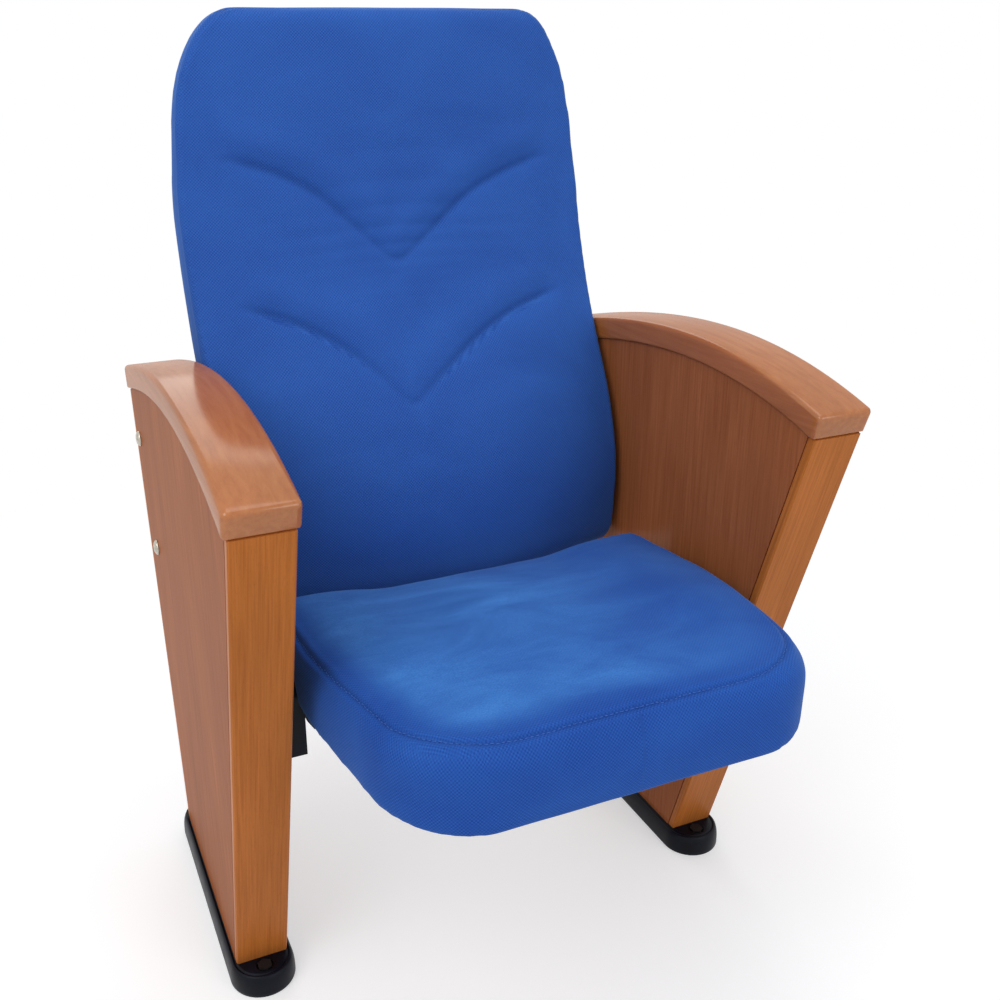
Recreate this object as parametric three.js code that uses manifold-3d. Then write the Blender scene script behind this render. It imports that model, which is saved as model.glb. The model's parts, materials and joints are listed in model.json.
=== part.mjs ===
// Tip-up auditorium seat, in millimetres, +Z up, the sitter faces -Y.
// Two wedge-shaped side panels on plastic shoes carry arched wooden armrests. A tall padded back
// hangs between them on steel brackets, and the padded seat turns on two pins near its rear.
// The origin lies on the floor under the middle of the whole seat.

import * as THREE from 'three';
import * as BufferGeometryUtils from 'three/addons/utils/BufferGeometryUtils.js';
import Module from 'manifold-3d';

const wasm = await Module();
wasm.setup();

// Clearances
const seam = 0.3;
const overrun = 20;

// Overall places
// Depths are measured from the middle of the armrests. All pieces are then moved back together, so
// that the origin lies under the middle of the whole seat's depth.
const panelSpacing = 570;
const rearmost = 317;
const foremost = -351;
const centring = -(rearmost + foremost) / 2;

// Side panels: two veneered boards with a hollow between them, closed by two edge strips
const panelThickness = 57.3;
const boardThickness = 18;
const stripThickness = 10;
const stripEase = 1.5;
const panelBottom = 26;
const panelFootFront = -48;
const panelFootRear = 235;
const panelTopFront = -227;
const panelTopRear = 315;
const innerFace = (panelSpacing - panelThickness) / 2;
const outerFace = innerFace + panelThickness;

// Armrests: the top line is an arch between its rear and front ends
const armThickness = 27.5;
const armSideOverhang = 4;
const armFrontOverhang = 8.6;
const armEdgeRadius = 4.5;
const armRearHeight = 622.4;
const armFrontHeight = 638.8;
const armRearRise = 46.3;
const armFrontRise = 62;
const armFront = panelTopFront - armFrontOverhang;
const armPullShare = 1 / 3;
const armSegments = 20;

// How finely round things are drawn
const fineSides = 40;
const bushSides = 32;
const pinSides = 24;
const stopSides = 20;
const headSides = 16;
const smallSides = 12;
const hexSides = 6;

// Feet: a moulded shoe over a steel foot plate, bolted down in front of and behind the panel
const shoeWidth = 73;
const shoeFront = -81;
const shoeRear = 268;
const shoeRim = 4;
const shoeTopInset = 6;
const shoeFlare = 9;
const footPlateWidth = 44;
const footPlateThickness = 6;
const floorBoltRadius = 5;
const floorBoltHeadRadius = 8.5;
const floorBoltHeadHeight = 6;
const floorBoltSetBack = 21;
const floorBoltRecess = 5;
const floorBoltHeadClearance = 0.45;
const shoeTurns = 8;

// Steel leg inside each panel
const legWidth = 50;
const legThickness = 20;
const legFront = 60;

// Back: a cushion on a moulded plywood shell
const backBottom = 366;
const backTop = 1014;
const backFoot = 102;
const backLean = 156;
const backHalfWidth = 248.5;
const backTopNarrowing = 16;
const backCornerWidth = 70;
const backCornerHeight = 114;
const backFootCornerWidth = 9;
const backFootCornerHeight = 60;
const backEdgeRadius = 14;
const backFootEdgeRadius = 26;
const backDepthLow = 70;
const backDepthHigh = 44;
const backCrownLow = 40;
const backCrownHigh = 17;
const backSideBulge = 2;
const backRearInset = 5;
const backLineShares = [[0, 0.1], [0.165, 0.05], [0.305, 0.205], [0.4468, 0.506], [0.5884, 0.744],
  [0.73, 0.875], [1, 1]];
const backLineSteps = 60;
const thinningStartShare = 0.525;
const thinningRunShare = 0.342;
const narrowingStartShare = 0.6435;
const narrowingRunShare = 0.3565;
const crownCurveShare = 2.4;
const backRearPinchShare = 0.5;
const backSideShares = [0.35, 0.7];
const backFootRowShares = [0, 0.03, 0.12, 0.3, 0.6, 1];
const backCornerRowShares = [0.62, 0.42, 0.26, 0.15, 0.07, 0.02, 0];
const backCornerDropShare = 0.25;
const backColumns = 12;
const backColumnCurveShare = 1.25;
const backHeight = backTop - backBottom;

// Two V-shaped channels sewn into the back
const channelHalfWidth = 186;
const channelDepth = 5;
const channelSpread = 8;
const channelFade = 26;
const channelCurveShare = 1.55;
const upperChannelEnd = 859;
const upperChannelDrop = 120;
const lowerChannelEnd = 700;
const lowerChannelDrop = 136;
const upperChannel = { end: upperChannelEnd, drop: upperChannelDrop };
const lowerChannel = { end: lowerChannelEnd, drop: lowerChannelDrop };
const channels = [upperChannel, lowerChannel];
const channelRow = 7;
const channelRowSteps = [-2, -1, 0, 1, 2];
const runSteps = { lower: 9, between: 5, above: 3 };

// Back shell and what holds it
const shellThickness = 10;
const shellInset = 14;
const shellStandOff = 0.8;
const shellRows = 22;
const bracketThickness = 4;
const bracketStandOff = 0.7;
const bracketFootRise = 8;
const bracketTopDrop = 56.4;
const bracketRows = 9;
const bracketBottom = backBottom + bracketFootRise;
const bracketTop = armRearHeight - bracketTopDrop;
const bracketHeight = bracketTop - bracketBottom;
const flangeInner = 196;
const bracketMargin = 20;
const upperBoltY = 273;
const upperBoltShare = 0.88;
const lowerBoltY = 225;
const lowerBoltShare = 0.245;
const upperBolt = { name: 'upper', y: upperBoltY, z: bracketBottom + bracketHeight * upperBoltShare };
const lowerBolt = { name: 'lower', y: lowerBoltY, z: bracketBottom + bracketHeight * lowerBoltShare };
const bracketBolts = [upperBolt, lowerBolt];
const boltRadius = 4;
const boltHeadRadius = 9;
const boltHeadHeight = 4.5;
const boltHeadRimShare = 0.3;
const boltHeadSteps = 5;
const boltNutRadius = 7.5;
const boltNutHeight = 6.5;
const upperScrewShare = 0.775;
const lowerScrewShare = 0.15;
const shellScrewHeights = [{ name: 'upper', z: bracketBottom + bracketHeight * upperScrewShare },
  { name: 'lower', z: bracketBottom + bracketHeight * lowerScrewShare }];
const shellScrewRadius = 2.5;
const shellScrewHeadRadius = 5.5;
const shellScrewHeadHeight = 3;
const shellScrewDepth = 7;
const shellScrewPlace = 214;

// Seat cushion on a plywood board
const seatFront = foremost;
const seatRear = 36;
const seatBottom = 363.5;
const seatFrontHeight = 448.5;
const seatRearHeight = 413.5;
const seatHalfWidth = 237.5;
const seatTaper = 23.5;
const seatTaperStart = -90;
const seatCornerRadius = 84;
const seatRearCornerRadius = 22;
const seatBow = 2;
const seatRearBow = 9;
const seatSideRise = 9;
const seatRiseStart = 105;
const seatRiseRun = 80;
const seatTopRadius = 30;
const seatRearRadius = 18;
const seatFootRadius = 5;
const seatSideBulge = 2;
const seatCrown = 15;
const seatRearCrownShare = 0.1;
const seatCrownCurveShare = 0.7;
const seatSideShare = 0.45;
const seatRadiusShare = 0.45;
const seatEdgeShares = [0, 0.35, 0.65, 1];
const seatRearRowShares = [0, 0.04, 0.13, 0.3, 0.55, 1];
const seatFrontRowShares = [0.8, 0.62, 0.46, 0.32, 0.2, 0.11, 0.05, 0.015, 0];
const seatRows = 9;
const seatColumns = 6;
const seatBoardThickness = 12;
const seatBoardInset = 35;
const seatBoardRows = 8;

// Seat hinge
const pivotY = -52;
const pivotZ = 366;
const pinRadius = 8;
const bushWall = 3;
const eyeWall = 8;
const armPlate = 6;
const armInner = 217;
const armDepth = 14;
const armReach = 54;
const armNose = 7;
const armTail = 52;
const webHalfWidth = 18;
const tipAngle = 75;
const housingRadius = 34;
const housingWall = 3;
const housingToeDepth = 63;
const housingToeLength = 36;
const housingInner = 226.5;
const housingClearance = 4;
const hingePlateThickness = 4;
const hingePlateHalf = 38;
const hingePlateCorner = 12;
const springWire = 3;
const springTurns = 4;
const springCore = pinRadius + springWire / 2 + 2 * seam;
const springSteps = 16;
const downStopRadius = 7;
const downStopPlace = 26;
const upStopRadius = 5;
const railSize = 20;
const railWall = 2;
const frontRailY = -90;
const rearRailY = -14;
const railPlaces = [{ name: 'front', y: frontRailY }, { name: 'rear', y: rearRailY }];
const boardScrewRadius = 3;
const boardScrewHeadRadius = 6;
const boardScrewHeadHeight = 3;
const boardScrewDepth = 8;
const boardScrewPlace = 120;
const hingeBoltPlace = 29.5;
const hingeBoltRadius = 4;
const hingeBoltHeadRadius = 6.5;
const hingeBoltHeadHeight = 2.5;
const hingeBolts = [{ name: 'upper', side: 1 }, { name: 'lower', side: -1 }];

// Materials
const colours = { fabric: 0x2d5aae, wood: 0xa9683a, oiled: 0xc48a62, plywood: 0xb98a5a, plastic: 0x171a26,
  steel: 0x1c1d20, bright: 0xb8b2a4, rubber: 0x202020 };

function material(colour, roughness, metalness) {
  return new THREE.MeshStandardMaterial({ color: colour, roughness, metalness });
}

const fabric = material(colours.fabric, 0.9, 0);
const veneer = material(colours.wood, 0.3, 0);
const lacquer = material(colours.oiled, 0.25, 0);
const plywood = material(colours.plywood, 0.5, 0);
const plastic = material(colours.plastic, 0.45, 0);
const steel = material(colours.steel, 0.5, 0.6);
const bright = material(colours.bright, 0.3, 1);
const rubber = material(colours.rubber, 0.9, 0);

// Solids and joining

function toSolid(geometry) {
  const bare = geometry.clone();
  bare.deleteAttribute('normal');
  bare.deleteAttribute('uv');
  const merged = BufferGeometryUtils.mergeVertices(bare, 1e-4);
  return new wasm.Manifold(new wasm.Mesh({
    numProp: 3,
    vertProperties: new Float32Array(merged.attributes.position.array),
    triVerts: new Uint32Array(merged.index.array),
  }));
}

function toGeometry(solid) {
  const mesh = solid.getMesh();
  const geometry = new THREE.BufferGeometry();
  geometry.setAttribute('position', new THREE.BufferAttribute(new Float32Array(mesh.vertProperties), 3));
  geometry.setIndex(new THREE.BufferAttribute(new Uint32Array(mesh.triVerts), 1));
  geometry.computeVertexNormals();
  return geometry;
}

function join(...pieces) {
  return toGeometry(pieces.map(toSolid).reduce((whole, piece) => whole.add(piece)));
}

function cut(body, ...tools) {
  return toGeometry(tools.map(toSolid).reduce((whole, tool) => whole.subtract(tool), toSolid(body)));
}

function mirrored(geometry) {
  const copy = geometry.index ? geometry.clone() : BufferGeometryUtils.mergeVertices(geometry);
  copy.scale(-1, 1, 1);
  const index = copy.index.array;
  for (let i = 0; i < index.length; i += 3) {
    [index[i], index[i + 1]] = [index[i + 1], index[i]];
  }
  copy.computeVertexNormals();
  return copy;
}

// A side outline of [y, z] points, carried from one x to another
function sideways(points, from, to, ease = 0) {
  const shape = new THREE.Shape(points.map(([y, z]) => new THREE.Vector2(y, z)));
  const geometry = new THREE.ExtrudeGeometry(shape, {
    depth: to - from - 2 * ease, bevelEnabled: ease > 0, bevelThickness: ease, bevelSize: ease,
    bevelOffset: -ease, bevelSegments: ease > stripEase ? 3 : 1, curveSegments: smallSides,
  });
  geometry.applyMatrix4(new THREE.Matrix4().set(0, 0, 1, from + ease, 1, 0, 0, 0, 0, 1, 0, 0, 0, 0, 0, 1));
  return geometry;
}

function rodX(radius, from, to, y, z, sides = pinSides) {
  const geometry = new THREE.CylinderGeometry(radius, radius, to - from, sides);
  geometry.rotateZ(Math.PI / 2);
  geometry.translate((from + to) / 2, y, z);
  return geometry;
}

function rodY(radius, from, to, x, z, sides = headSides) {
  const geometry = new THREE.CylinderGeometry(radius, radius, to - from, sides);
  geometry.translate(x, (from + to) / 2, z);
  return geometry;
}

function rodZ(radius, from, to, x, y, sides = headSides) {
  const geometry = new THREE.CylinderGeometry(radius, radius, to - from, sides);
  geometry.rotateX(Math.PI / 2);
  geometry.translate(x, y, (from + to) / 2);
  return geometry;
}

function block(x0, x1, y0, y1, z0, z1) {
  const geometry = new THREE.BoxGeometry(x1 - x0, y1 - y0, z1 - z0);
  geometry.translate((x0 + x1) / 2, (y0 + y1) / 2, (z0 + z1) / 2);
  return geometry;
}

// A closed body through rings of points that all hold the same count, with a fan at each end
function loft(rings) {
  const count = rings[0].length;
  const points = rings.flat();
  const index = [];
  for (let row = 0; row + 1 < rings.length; row += 1) {
    for (let i = 0; i < count; i += 1) {
      const a = row * count + i;
      const b = row * count + (i + 1) % count;
      index.push(a, b, b + count, a, b + count, a + count);
    }
  }
  for (const row of [0, rings.length - 1]) {
    const centre = points.length;
    const middle = new THREE.Vector3();
    rings[row].forEach((point) => middle.addScaledVector(point, 1 / count));
    points.push(middle);
    for (let i = 0; i < count; i += 1) {
      const a = row * count + i;
      const b = row * count + (i + 1) % count;
      index.push(...(row === 0 ? [centre, b, a] : [centre, a, b]));
    }
  }
  const geometry = new THREE.BufferGeometry().setFromPoints(points);
  geometry.setIndex(index);
  if (toSolid(geometry).volume() < 0) {
    for (let i = 0; i < index.length; i += 3) {
      [index[i], index[i + 1]] = [index[i + 1], index[i]];
    }
    geometry.setIndex(index);
  }
  geometry.computeVertexNormals();
  return geometry;
}

const mix = (a, b, share) => a + (b - a) * share;
const smooth = (share) => THREE.MathUtils.smoothstep(share, 0, 1);
const roundOff = (radius, inside) => {
  const past = Math.min(radius, Math.max(0, radius - inside));
  return radius - Math.sqrt(radius * radius - past * past);
};

// Armrest lines

const armTopLine = new THREE.CubicBezierCurve(
  new THREE.Vector2(rearmost, armRearHeight),
  new THREE.Vector2(mix(rearmost, armFront, armPullShare), armRearHeight + armRearRise),
  new THREE.Vector2(mix(armFront, rearmost, armPullShare), armFrontHeight + armFrontRise),
  new THREE.Vector2(armFront, armFrontHeight),
);

function armLine(offset) {
  return Array.from({ length: armSegments + 1 }, (_, i) => {
    const point = armTopLine.getPoint(i / armSegments);
    const along = armTopLine.getTangent(i / armSegments);
    return [point.x - along.y * offset, point.y + along.x * offset];
  });
}

function heightOn(line, y) {
  const found = line.findIndex(([place]) => place <= y);
  const i = found < 0 ? line.length - 1 : Math.max(1, found);
  const [y0, z0] = line[i - 1];
  const [y1, z1] = line[i];
  return mix(z0, z1, (y - y0) / (y1 - y0));
}

const armUnder = armLine(armThickness);

// The panel outline between two lines: inset moves the front and rear edges inwards
function panelOutline(insetFront, insetRear) {
  const topOf = (y) => heightOn(armUnder, y) - seam;
  const front = panelTopFront + insetFront;
  const rear = panelTopRear - insetRear;
  const top = [];
  for (let i = 0; i <= armSegments; i += 1) {
    const y = mix(rear, front, i / armSegments);
    top.push([y, topOf(y)]);
  }
  return [[panelFootFront + insetFront, panelBottom + seam], [panelFootRear - insetRear, panelBottom + seam],
    ...top];
}

function edgeStrip(foot, top, inwards) {
  const topOf = (y) => heightOn(armUnder, y) - seam;
  const points = [[foot, panelBottom + seam], [foot + inwards, panelBottom + seam],
    [top + inwards, topOf(top + inwards)], [top, topOf(top)]];
  return inwards > 0 ? points : points.reverse();
}

// Back lines

const backLine = new THREE.SplineCurve(backLineShares.map(([up, back]) => new THREE.Vector2(
  backBottom + up * backHeight, backFoot + back * backLean))).getPoints(backLineSteps);

function backFrontEdge(z) {
  const i = Math.min(backLine.length - 1, Math.max(1, backLine.findIndex((point) => point.x >= z)));
  return mix(backLine[i - 1].y, backLine[i].y, (z - backLine[i - 1].x) / (backLine[i].x - backLine[i - 1].x));
}

const backShare = (z) => (z - backBottom) / backHeight;
const backDepth = (z) => mix(backDepthLow, backDepthHigh,
  smooth((backShare(z) - thinningStartShare) / thinningRunShare));
const backRear = (z) => backFrontEdge(z) + backDepth(z);
const backCrown = (z) => mix(backCrownLow, backCrownHigh, smooth(backShare(z)));

function backWidth(z) {
  const narrowing = backTopNarrowing * smooth((backShare(z) - narrowingStartShare) / narrowingRunShare);
  const corner = roundOff(backCornerHeight, backTop - z) * backCornerWidth / backCornerHeight;
  const foot = roundOff(backFootCornerHeight, z - backBottom) * backFootCornerWidth / backFootCornerHeight;
  return backHalfWidth - narrowing - corner - foot;
}

function channelLine(x, drop) {
  return -drop * Math.max(0, 1 - Math.abs(x) / channelHalfWidth) ** channelCurveShare;
}

function channelCut(x, z) {
  const fade = smooth((channelHalfWidth + channelFade / 2 - Math.abs(x)) / channelFade);
  return channels.reduce((sum, { end, drop }) => {
    const off = (z - end - channelLine(x, drop)) / channelSpread;
    return sum + channelDepth * fade * Math.exp(-off * off);
  }, 0);
}

// Rows follow the channels, so each row has a height at the edge and a drop in the middle
function backRows() {
  const rows = [];
  const add = (z, drop) => rows.push({ z, drop });
  const run = (to, steps) => {
    const from = rows.at(-1);
    for (let i = 1; i < steps; i += 1) {
      add(mix(from.z, to.z, i / steps), mix(from.drop, to.drop, i / steps));
    }
  };
  const channelRows = ({ end, drop }) => (
    channelRowSteps.forEach((step) => add(end + step * channelRow, drop)));
  const channelFoot = ({ end, drop }) => ({ z: end + channelRowSteps[0] * channelRow, drop });
  const [cornerShare] = backCornerRowShares;
  const cornerDrop = upperChannel.drop * backCornerDropShare;
  backFootRowShares.forEach((share) => add(backBottom + backFootEdgeRadius * share, 0));
  run(channelFoot(lowerChannel), runSteps.lower);
  channelRows(lowerChannel);
  run(channelFoot(upperChannel), runSteps.between);
  channelRows(upperChannel);
  run({ z: backTop - backCornerHeight * cornerShare, drop: cornerDrop }, runSteps.above);
  backCornerRowShares.forEach((share) => add(backTop - backCornerHeight * share,
    cornerDrop * (share / cornerShare) ** 2));
  return rows;
}

function backRing({ z: rowHeight, drop }) {
  const ring = [];
  const width = backWidth(rowHeight);
  const push = (x, y, z) => ring.push(new THREE.Vector3(x, y, z));
  const pinch = roundOff(backEdgeRadius, backTop - rowHeight)
    + roundOff(backFootEdgeRadius, rowHeight - backBottom);
  const front = backFrontEdge(rowHeight) + pinch;
  const rear = backRear(rowHeight) - pinch * backRearPinchShare;
  for (let i = -backColumns; i <= backColumns; i += 1) {
    const share = Math.sign(i) * (1 - (1 - Math.abs(i) / backColumns) ** backColumnCurveShare);
    const x = width * share;
    const z = rowHeight + channelLine(x, drop);
    const crown = backCrown(z) * (1 - Math.abs(share) ** crownCurveShare);
    push(x, backFrontEdge(z) - crown + pinch + channelCut(x, z), z);
  }
  backSideShares.forEach((share) => push(width + backSideBulge, mix(front, rear, share), rowHeight));
  push(width - backRearInset, rear, rowHeight);
  push(0, rear, rowHeight);
  push(-width + backRearInset, rear, rowHeight);
  backSideShares.slice().reverse().forEach((share) => push(-width - backSideBulge, mix(front, rear, share),
    rowHeight));
  return ring;
}

function backShell() {
  const rings = [];
  for (let i = 0; i <= shellRows; i += 1) {
    const z = mix(backBottom + shellInset, backTop - shellInset, i / shellRows);
    const width = backWidth(z) - shellInset;
    const near = backRear(z) + shellStandOff;
    const far = near + shellThickness;
    rings.push([new THREE.Vector3(-width, near, z), new THREE.Vector3(width, near, z),
      new THREE.Vector3(width, far, z), new THREE.Vector3(-width, far, z)]);
  }
  return loft(rings);
}

const shellFar = (z) => backRear(z) + shellStandOff + shellThickness;

// A rod square to the rear of the shell, measured outwards from it
function shellRod(radius, from, to, x, z) {
  const rod = rodY(radius, from, to, 0, 0);
  rod.rotateX(-Math.atan((shellFar(z + shellInset) - shellFar(z - shellInset)) / (2 * shellInset)));
  rod.translate(x, shellFar(z), z);
  return rod;
}

// Seat lines

function seatWidth(y) {
  const taper = seatTaper * smooth((seatTaperStart - y) / (seatTaperStart - seatFront));
  const front = roundOff(seatCornerRadius, y - seatFront);
  return seatHalfWidth - taper - front - roundOff(seatRearCornerRadius, seatRear - y);
}

function seatRing(y) {
  const ring = [];
  const width = seatWidth(y);
  const share = (y - seatFront) / (seatRear - seatFront);
  const edge = Math.min(y - seatFront, seatRear - y);
  const top = mix(seatFrontHeight, seatRearHeight, share) - roundOff(seatTopRadius, y - seatFront)
    - roundOff(seatRearRadius, seatRear - y);
  const foot = seatBottom + roundOff(seatFootRadius, edge);
  const bowed = (x) => y + seatBow * (x / seatHalfWidth) ** 2 * smooth(1 - share * 2)
    + seatRearBow * Math.abs(x / seatHalfWidth) ** crownCurveShare * smooth(share * 2 - 1);
  const rearRise = seatSideRise * smooth(share * 2 - 1);
  const sideRise = (x) => rearRise * smooth((Math.abs(x) - seatRiseStart) / seatRiseRun);
  const push = (x, z) => ring.push(new THREE.Vector3(x, bowed(x), z));
  const radius = Math.min(seatTopRadius, (top - foot) * seatRadiusShare);
  const side = [[seatFootRadius, foot], [seatSideBulge, foot + seatFootRadius],
    [0, mix(foot, top, seatSideShare)]];
  seatEdgeShares.forEach((turn) => {
    const angle = turn * Math.PI / 2;
    side.push([radius * (1 - Math.cos(angle)), top + sideRise(width) - radius * (1 - Math.sin(angle))]);
  });
  push(0, foot);
  side.forEach(([inset, z]) => push(width - inset, z));
  const inner = width - side.at(-1)[0];
  const arch = Math.sin(Math.PI * THREE.MathUtils.clamp(share, 0, 1)) ** seatCrownCurveShare;
  const crown = seatCrown * Math.max(arch, seatRearCrownShare * smooth(share * 2 - 1));
  for (let i = seatColumns - 1; i > -seatColumns; i -= 1) {
    const across = i / seatColumns;
    push(inner * across, top + crown * (1 - across * across) + sideRise(inner * across));
  }
  side.slice().reverse().forEach(([inset, z]) => push(-width + inset, z));
  return ring;
}

function seatCushion() {
  const bend = seatFront + seatCornerRadius;
  const rearBend = seatRear - seatRearCornerRadius;
  const places = seatRearRowShares.map((share) => seatRear - seatRearCornerRadius * share);
  for (let i = 1; i <= seatRows; i += 1) {
    places.push(mix(rearBend, bend, i / seatRows));
  }
  seatFrontRowShares.forEach((share) => places.push(seatFront + seatCornerRadius * share));
  const recess = housingRadius + housingClearance;
  const inside = armInner - armPlate;
  const outside = seatHalfWidth + overrun;
  return cut(loft(places.map(seatRing)), rodX(recess, inside, outside, pivotY, pivotZ, fineSides),
    rodX(recess, -outside, -inside, pivotY, pivotZ, fineSides));
}

function seatBoard() {
  const front = seatFront + seatBoardInset * 2;
  const bend = seatFront + seatCornerRadius + seatBoardInset;
  const outline = [];
  for (let i = 0; i <= seatBoardRows; i += 1) {
    const y = mix(front, bend, (i / seatBoardRows) ** 2);
    outline.push([seatWidth(y) - seatBoardInset, y]);
  }
  outline.push([seatHalfWidth - seatBoardInset, seatRear - seatBoardInset]);
  const shape = new THREE.Shape([...outline.map(([x, y]) => new THREE.Vector2(x, y)),
    ...outline.slice().reverse().map(([x, y]) => new THREE.Vector2(-x, y))]);
  const geometry = new THREE.ExtrudeGeometry(shape, { depth: seatBoardThickness, bevelEnabled: false });
  geometry.translate(0, 0, seatBottom - seam - seatBoardThickness);
  return geometry;
}

const boardUnder = seatBottom - seam - seatBoardThickness;

// Assembly

const chair = new THREE.Group();
chair.name = 'tip_up_auditorium_seat';

function place(name, geometry, finish) {
  const mesh = new THREE.Mesh(geometry.clone().translate(0, centring, 0), finish);
  mesh.name = name;
  chair.add(mesh);
}

function placePair(name, geometry, finish) {
  place(`${name}_right`, geometry, finish);
  place(`${name}_left`, mirrored(geometry), finish);
}

// Feet and legs

const panelMiddle = (innerFace + outerFace) / 2;
const shoeEndRadius = shoeWidth / 2;

function shoeRing(inset, z) {
  const radius = shoeEndRadius - inset;
  const ring = [];
  for (const [centre, start] of [[shoeRear - shoeEndRadius, 0], [shoeFront + shoeEndRadius, Math.PI]]) {
    for (let i = 0; i <= shoeTurns; i += 1) {
      const angle = start + Math.PI * i / shoeTurns;
      const across = panelMiddle + radius * Math.cos(angle);
      ring.push(new THREE.Vector3(across, centre + radius * Math.sin(angle), z));
    }
  }
  return ring;
}

const floorBoltPlaces = [{ name: 'front', y: shoeFront + floorBoltSetBack },
  { name: 'rear', y: shoeRear - floorBoltSetBack }];

function shoe() {
  const body = loft([shoeRing(shoeRim / 2, 0), shoeRing(0, shoeRim / 2), shoeRing(0, shoeFlare),
    shoeRing(shoeRim, panelBottom - shoeRim), shoeRing(shoeTopInset, panelBottom)]);
  const halfPlate = footPlateWidth / 2 + seam;
  const pocket = block(panelMiddle - halfPlate, panelMiddle + halfPlate, shoeFront + shoeTopInset * 2 - seam,
    shoeRear - shoeTopInset * 2 + seam, -overrun, footPlateThickness + seam);
  const legHole = block(panelMiddle - legThickness / 2 - seam, panelMiddle + legThickness / 2 + seam,
    legFront - seam, legFront + legWidth + seam, 0, panelBottom + overrun);
  const above = panelBottom + overrun;
  const boltHoles = floorBoltPlaces.map(({ y }) => join(
    rodZ(floorBoltRadius + seam, -overrun, above, panelMiddle, y),
    rodZ(floorBoltHeadRadius + floorBoltHeadClearance, panelBottom - floorBoltRecess, above, panelMiddle, y,
      stopSides)));
  return cut(body, pocket, legHole, ...boltHoles);
}

function leg() {
  const half = footPlateWidth / 2;
  const plate = block(panelMiddle - half, panelMiddle + half, shoeFront + shoeTopInset * 2,
    shoeRear - shoeTopInset * 2, 0, footPlateThickness);
  const top = [];
  for (let i = 0; i <= 4; i += 1) {
    const y = mix(legFront + legWidth, legFront, i / 4);
    top.push([y, heightOn(armUnder, y) - seam]);
  }
  const columnFoot = footPlateThickness / 2;
  const column = sideways([[legFront, columnFoot], [legFront + legWidth, columnFoot], ...top],
    panelMiddle - legThickness / 2, panelMiddle + legThickness / 2);
  const holes = floorBoltPlaces.map(({ y }) => (
    rodZ(floorBoltRadius + seam, -overrun, overrun, panelMiddle, y)));
  return cut(join(plate, column), ...holes);
}

function floorBolt(y) {
  const headFoot = panelBottom - floorBoltRecess + seam;
  return join(rodZ(floorBoltRadius, seam, headFoot + seam, panelMiddle, y),
    rodZ(floorBoltHeadRadius, headFoot, headFoot + floorBoltHeadHeight, panelMiddle, y, hexSides));
}

placePair('shoe', shoe(), plastic);
placePair('leg', leg(), steel);
for (const { name, y } of floorBoltPlaces) {
  placePair(`floor_bolt_${name}`, floorBolt(y), steel);
}

// Side panels and armrests

const boltBores = bracketBolts.map(({ y, z }) => (
  rodX(boltRadius + seam, innerFace - overrun, outerFace + overrun, y, z)));
const hingeBores = hingeBolts.map(({ side }) => rodX(hingeBoltRadius + seam, innerFace - overrun,
  innerFace + boardThickness + overrun, pivotY + hingeBoltPlace, pivotZ + side * hingeBoltPlace));
const boardOutline = panelOutline(stripThickness + seam, stripThickness + seam);
placePair('inner_panel', cut(sideways(boardOutline, innerFace, innerFace + boardThickness), ...boltBores,
  ...hingeBores), veneer);
placePair('outer_panel', cut(sideways(boardOutline, outerFace - boardThickness, outerFace), ...boltBores),
  veneer);
placePair('front_strip', sideways(edgeStrip(panelFootFront, panelTopFront, stripThickness), innerFace,
  outerFace, stripEase), veneer);
placePair('rear_strip', sideways(edgeStrip(panelFootRear, panelTopRear, -stripThickness), innerFace,
  outerFace, stripEase), veneer);
placePair('armrest', sideways([...armLine(0), ...armUnder.slice().reverse()], innerFace - armSideOverhang,
  outerFace + armSideOverhang, armEdgeRadius), lacquer);

// Back brackets with their bolts and screws

function backBracket() {
  const heights = Array.from({ length: bracketRows + 1 }, (_, i) => (
    mix(bracketBottom, bracketTop, i / bracketRows)));
  const near = heights.map((z) => [shellFar(z) + bracketStandOff, z]);
  const far = near.map(([y, z]) => [y + bracketThickness, z]).reverse();
  const plateOuter = innerFace - seam;
  const flange = sideways([...near, ...far].reverse(), flangeInner, plateOuter);
  const upperEdge = upperBolt.y + bracketMargin;
  const web = sideways([...near, [upperEdge, bracketTop], [upperEdge, upperBolt.z - bracketMargin],
    [lowerBolt.y + bracketMargin, bracketBottom]].reverse(), plateOuter - bracketThickness, plateOuter);
  const screwHoles = shellScrewHeights.map(({ z }) => shellRod(shellScrewRadius + seam, -overrun, overrun,
    shellScrewPlace, z));
  return cut(join(flange, web), ...boltBores, ...screwHoles);
}

function bracketBolt(y, z) {
  const inner = innerFace - seam - bracketThickness;
  const shank = rodX(boltRadius, inner - boltNutHeight, outerFace + boltHeadHeight / 2, y, z);
  const nut = rodX(boltNutRadius, inner - seam - boltNutHeight, inner - seam, y, z, hexSides);
  const points = [new THREE.Vector2(0, 0), new THREE.Vector2(boltHeadRadius, 0)];
  for (let i = 0; i < boltHeadSteps; i += 1) {
    const angle = Math.PI / 2 * i / boltHeadSteps;
    const rise = mix(boltHeadRimShare, 1, Math.sin(angle));
    points.push(new THREE.Vector2(boltHeadRadius * Math.cos(angle), boltHeadHeight * rise));
  }
  points.push(new THREE.Vector2(0, boltHeadHeight));
  const head = new THREE.LatheGeometry(points, bushSides);
  head.rotateZ(-Math.PI / 2);
  head.translate(outerFace + seam, y, z);
  return join(shank, nut, head);
}

function shellScrew(z) {
  const seat = bracketStandOff + bracketThickness + seam;
  const headMiddle = seat + shellScrewHeadHeight / 2;
  return join(shellRod(shellScrewRadius, -shellScrewDepth, headMiddle, shellScrewPlace, z),
    shellRod(shellScrewHeadRadius, seat, seat + shellScrewHeadHeight, shellScrewPlace, z));
}

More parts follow.
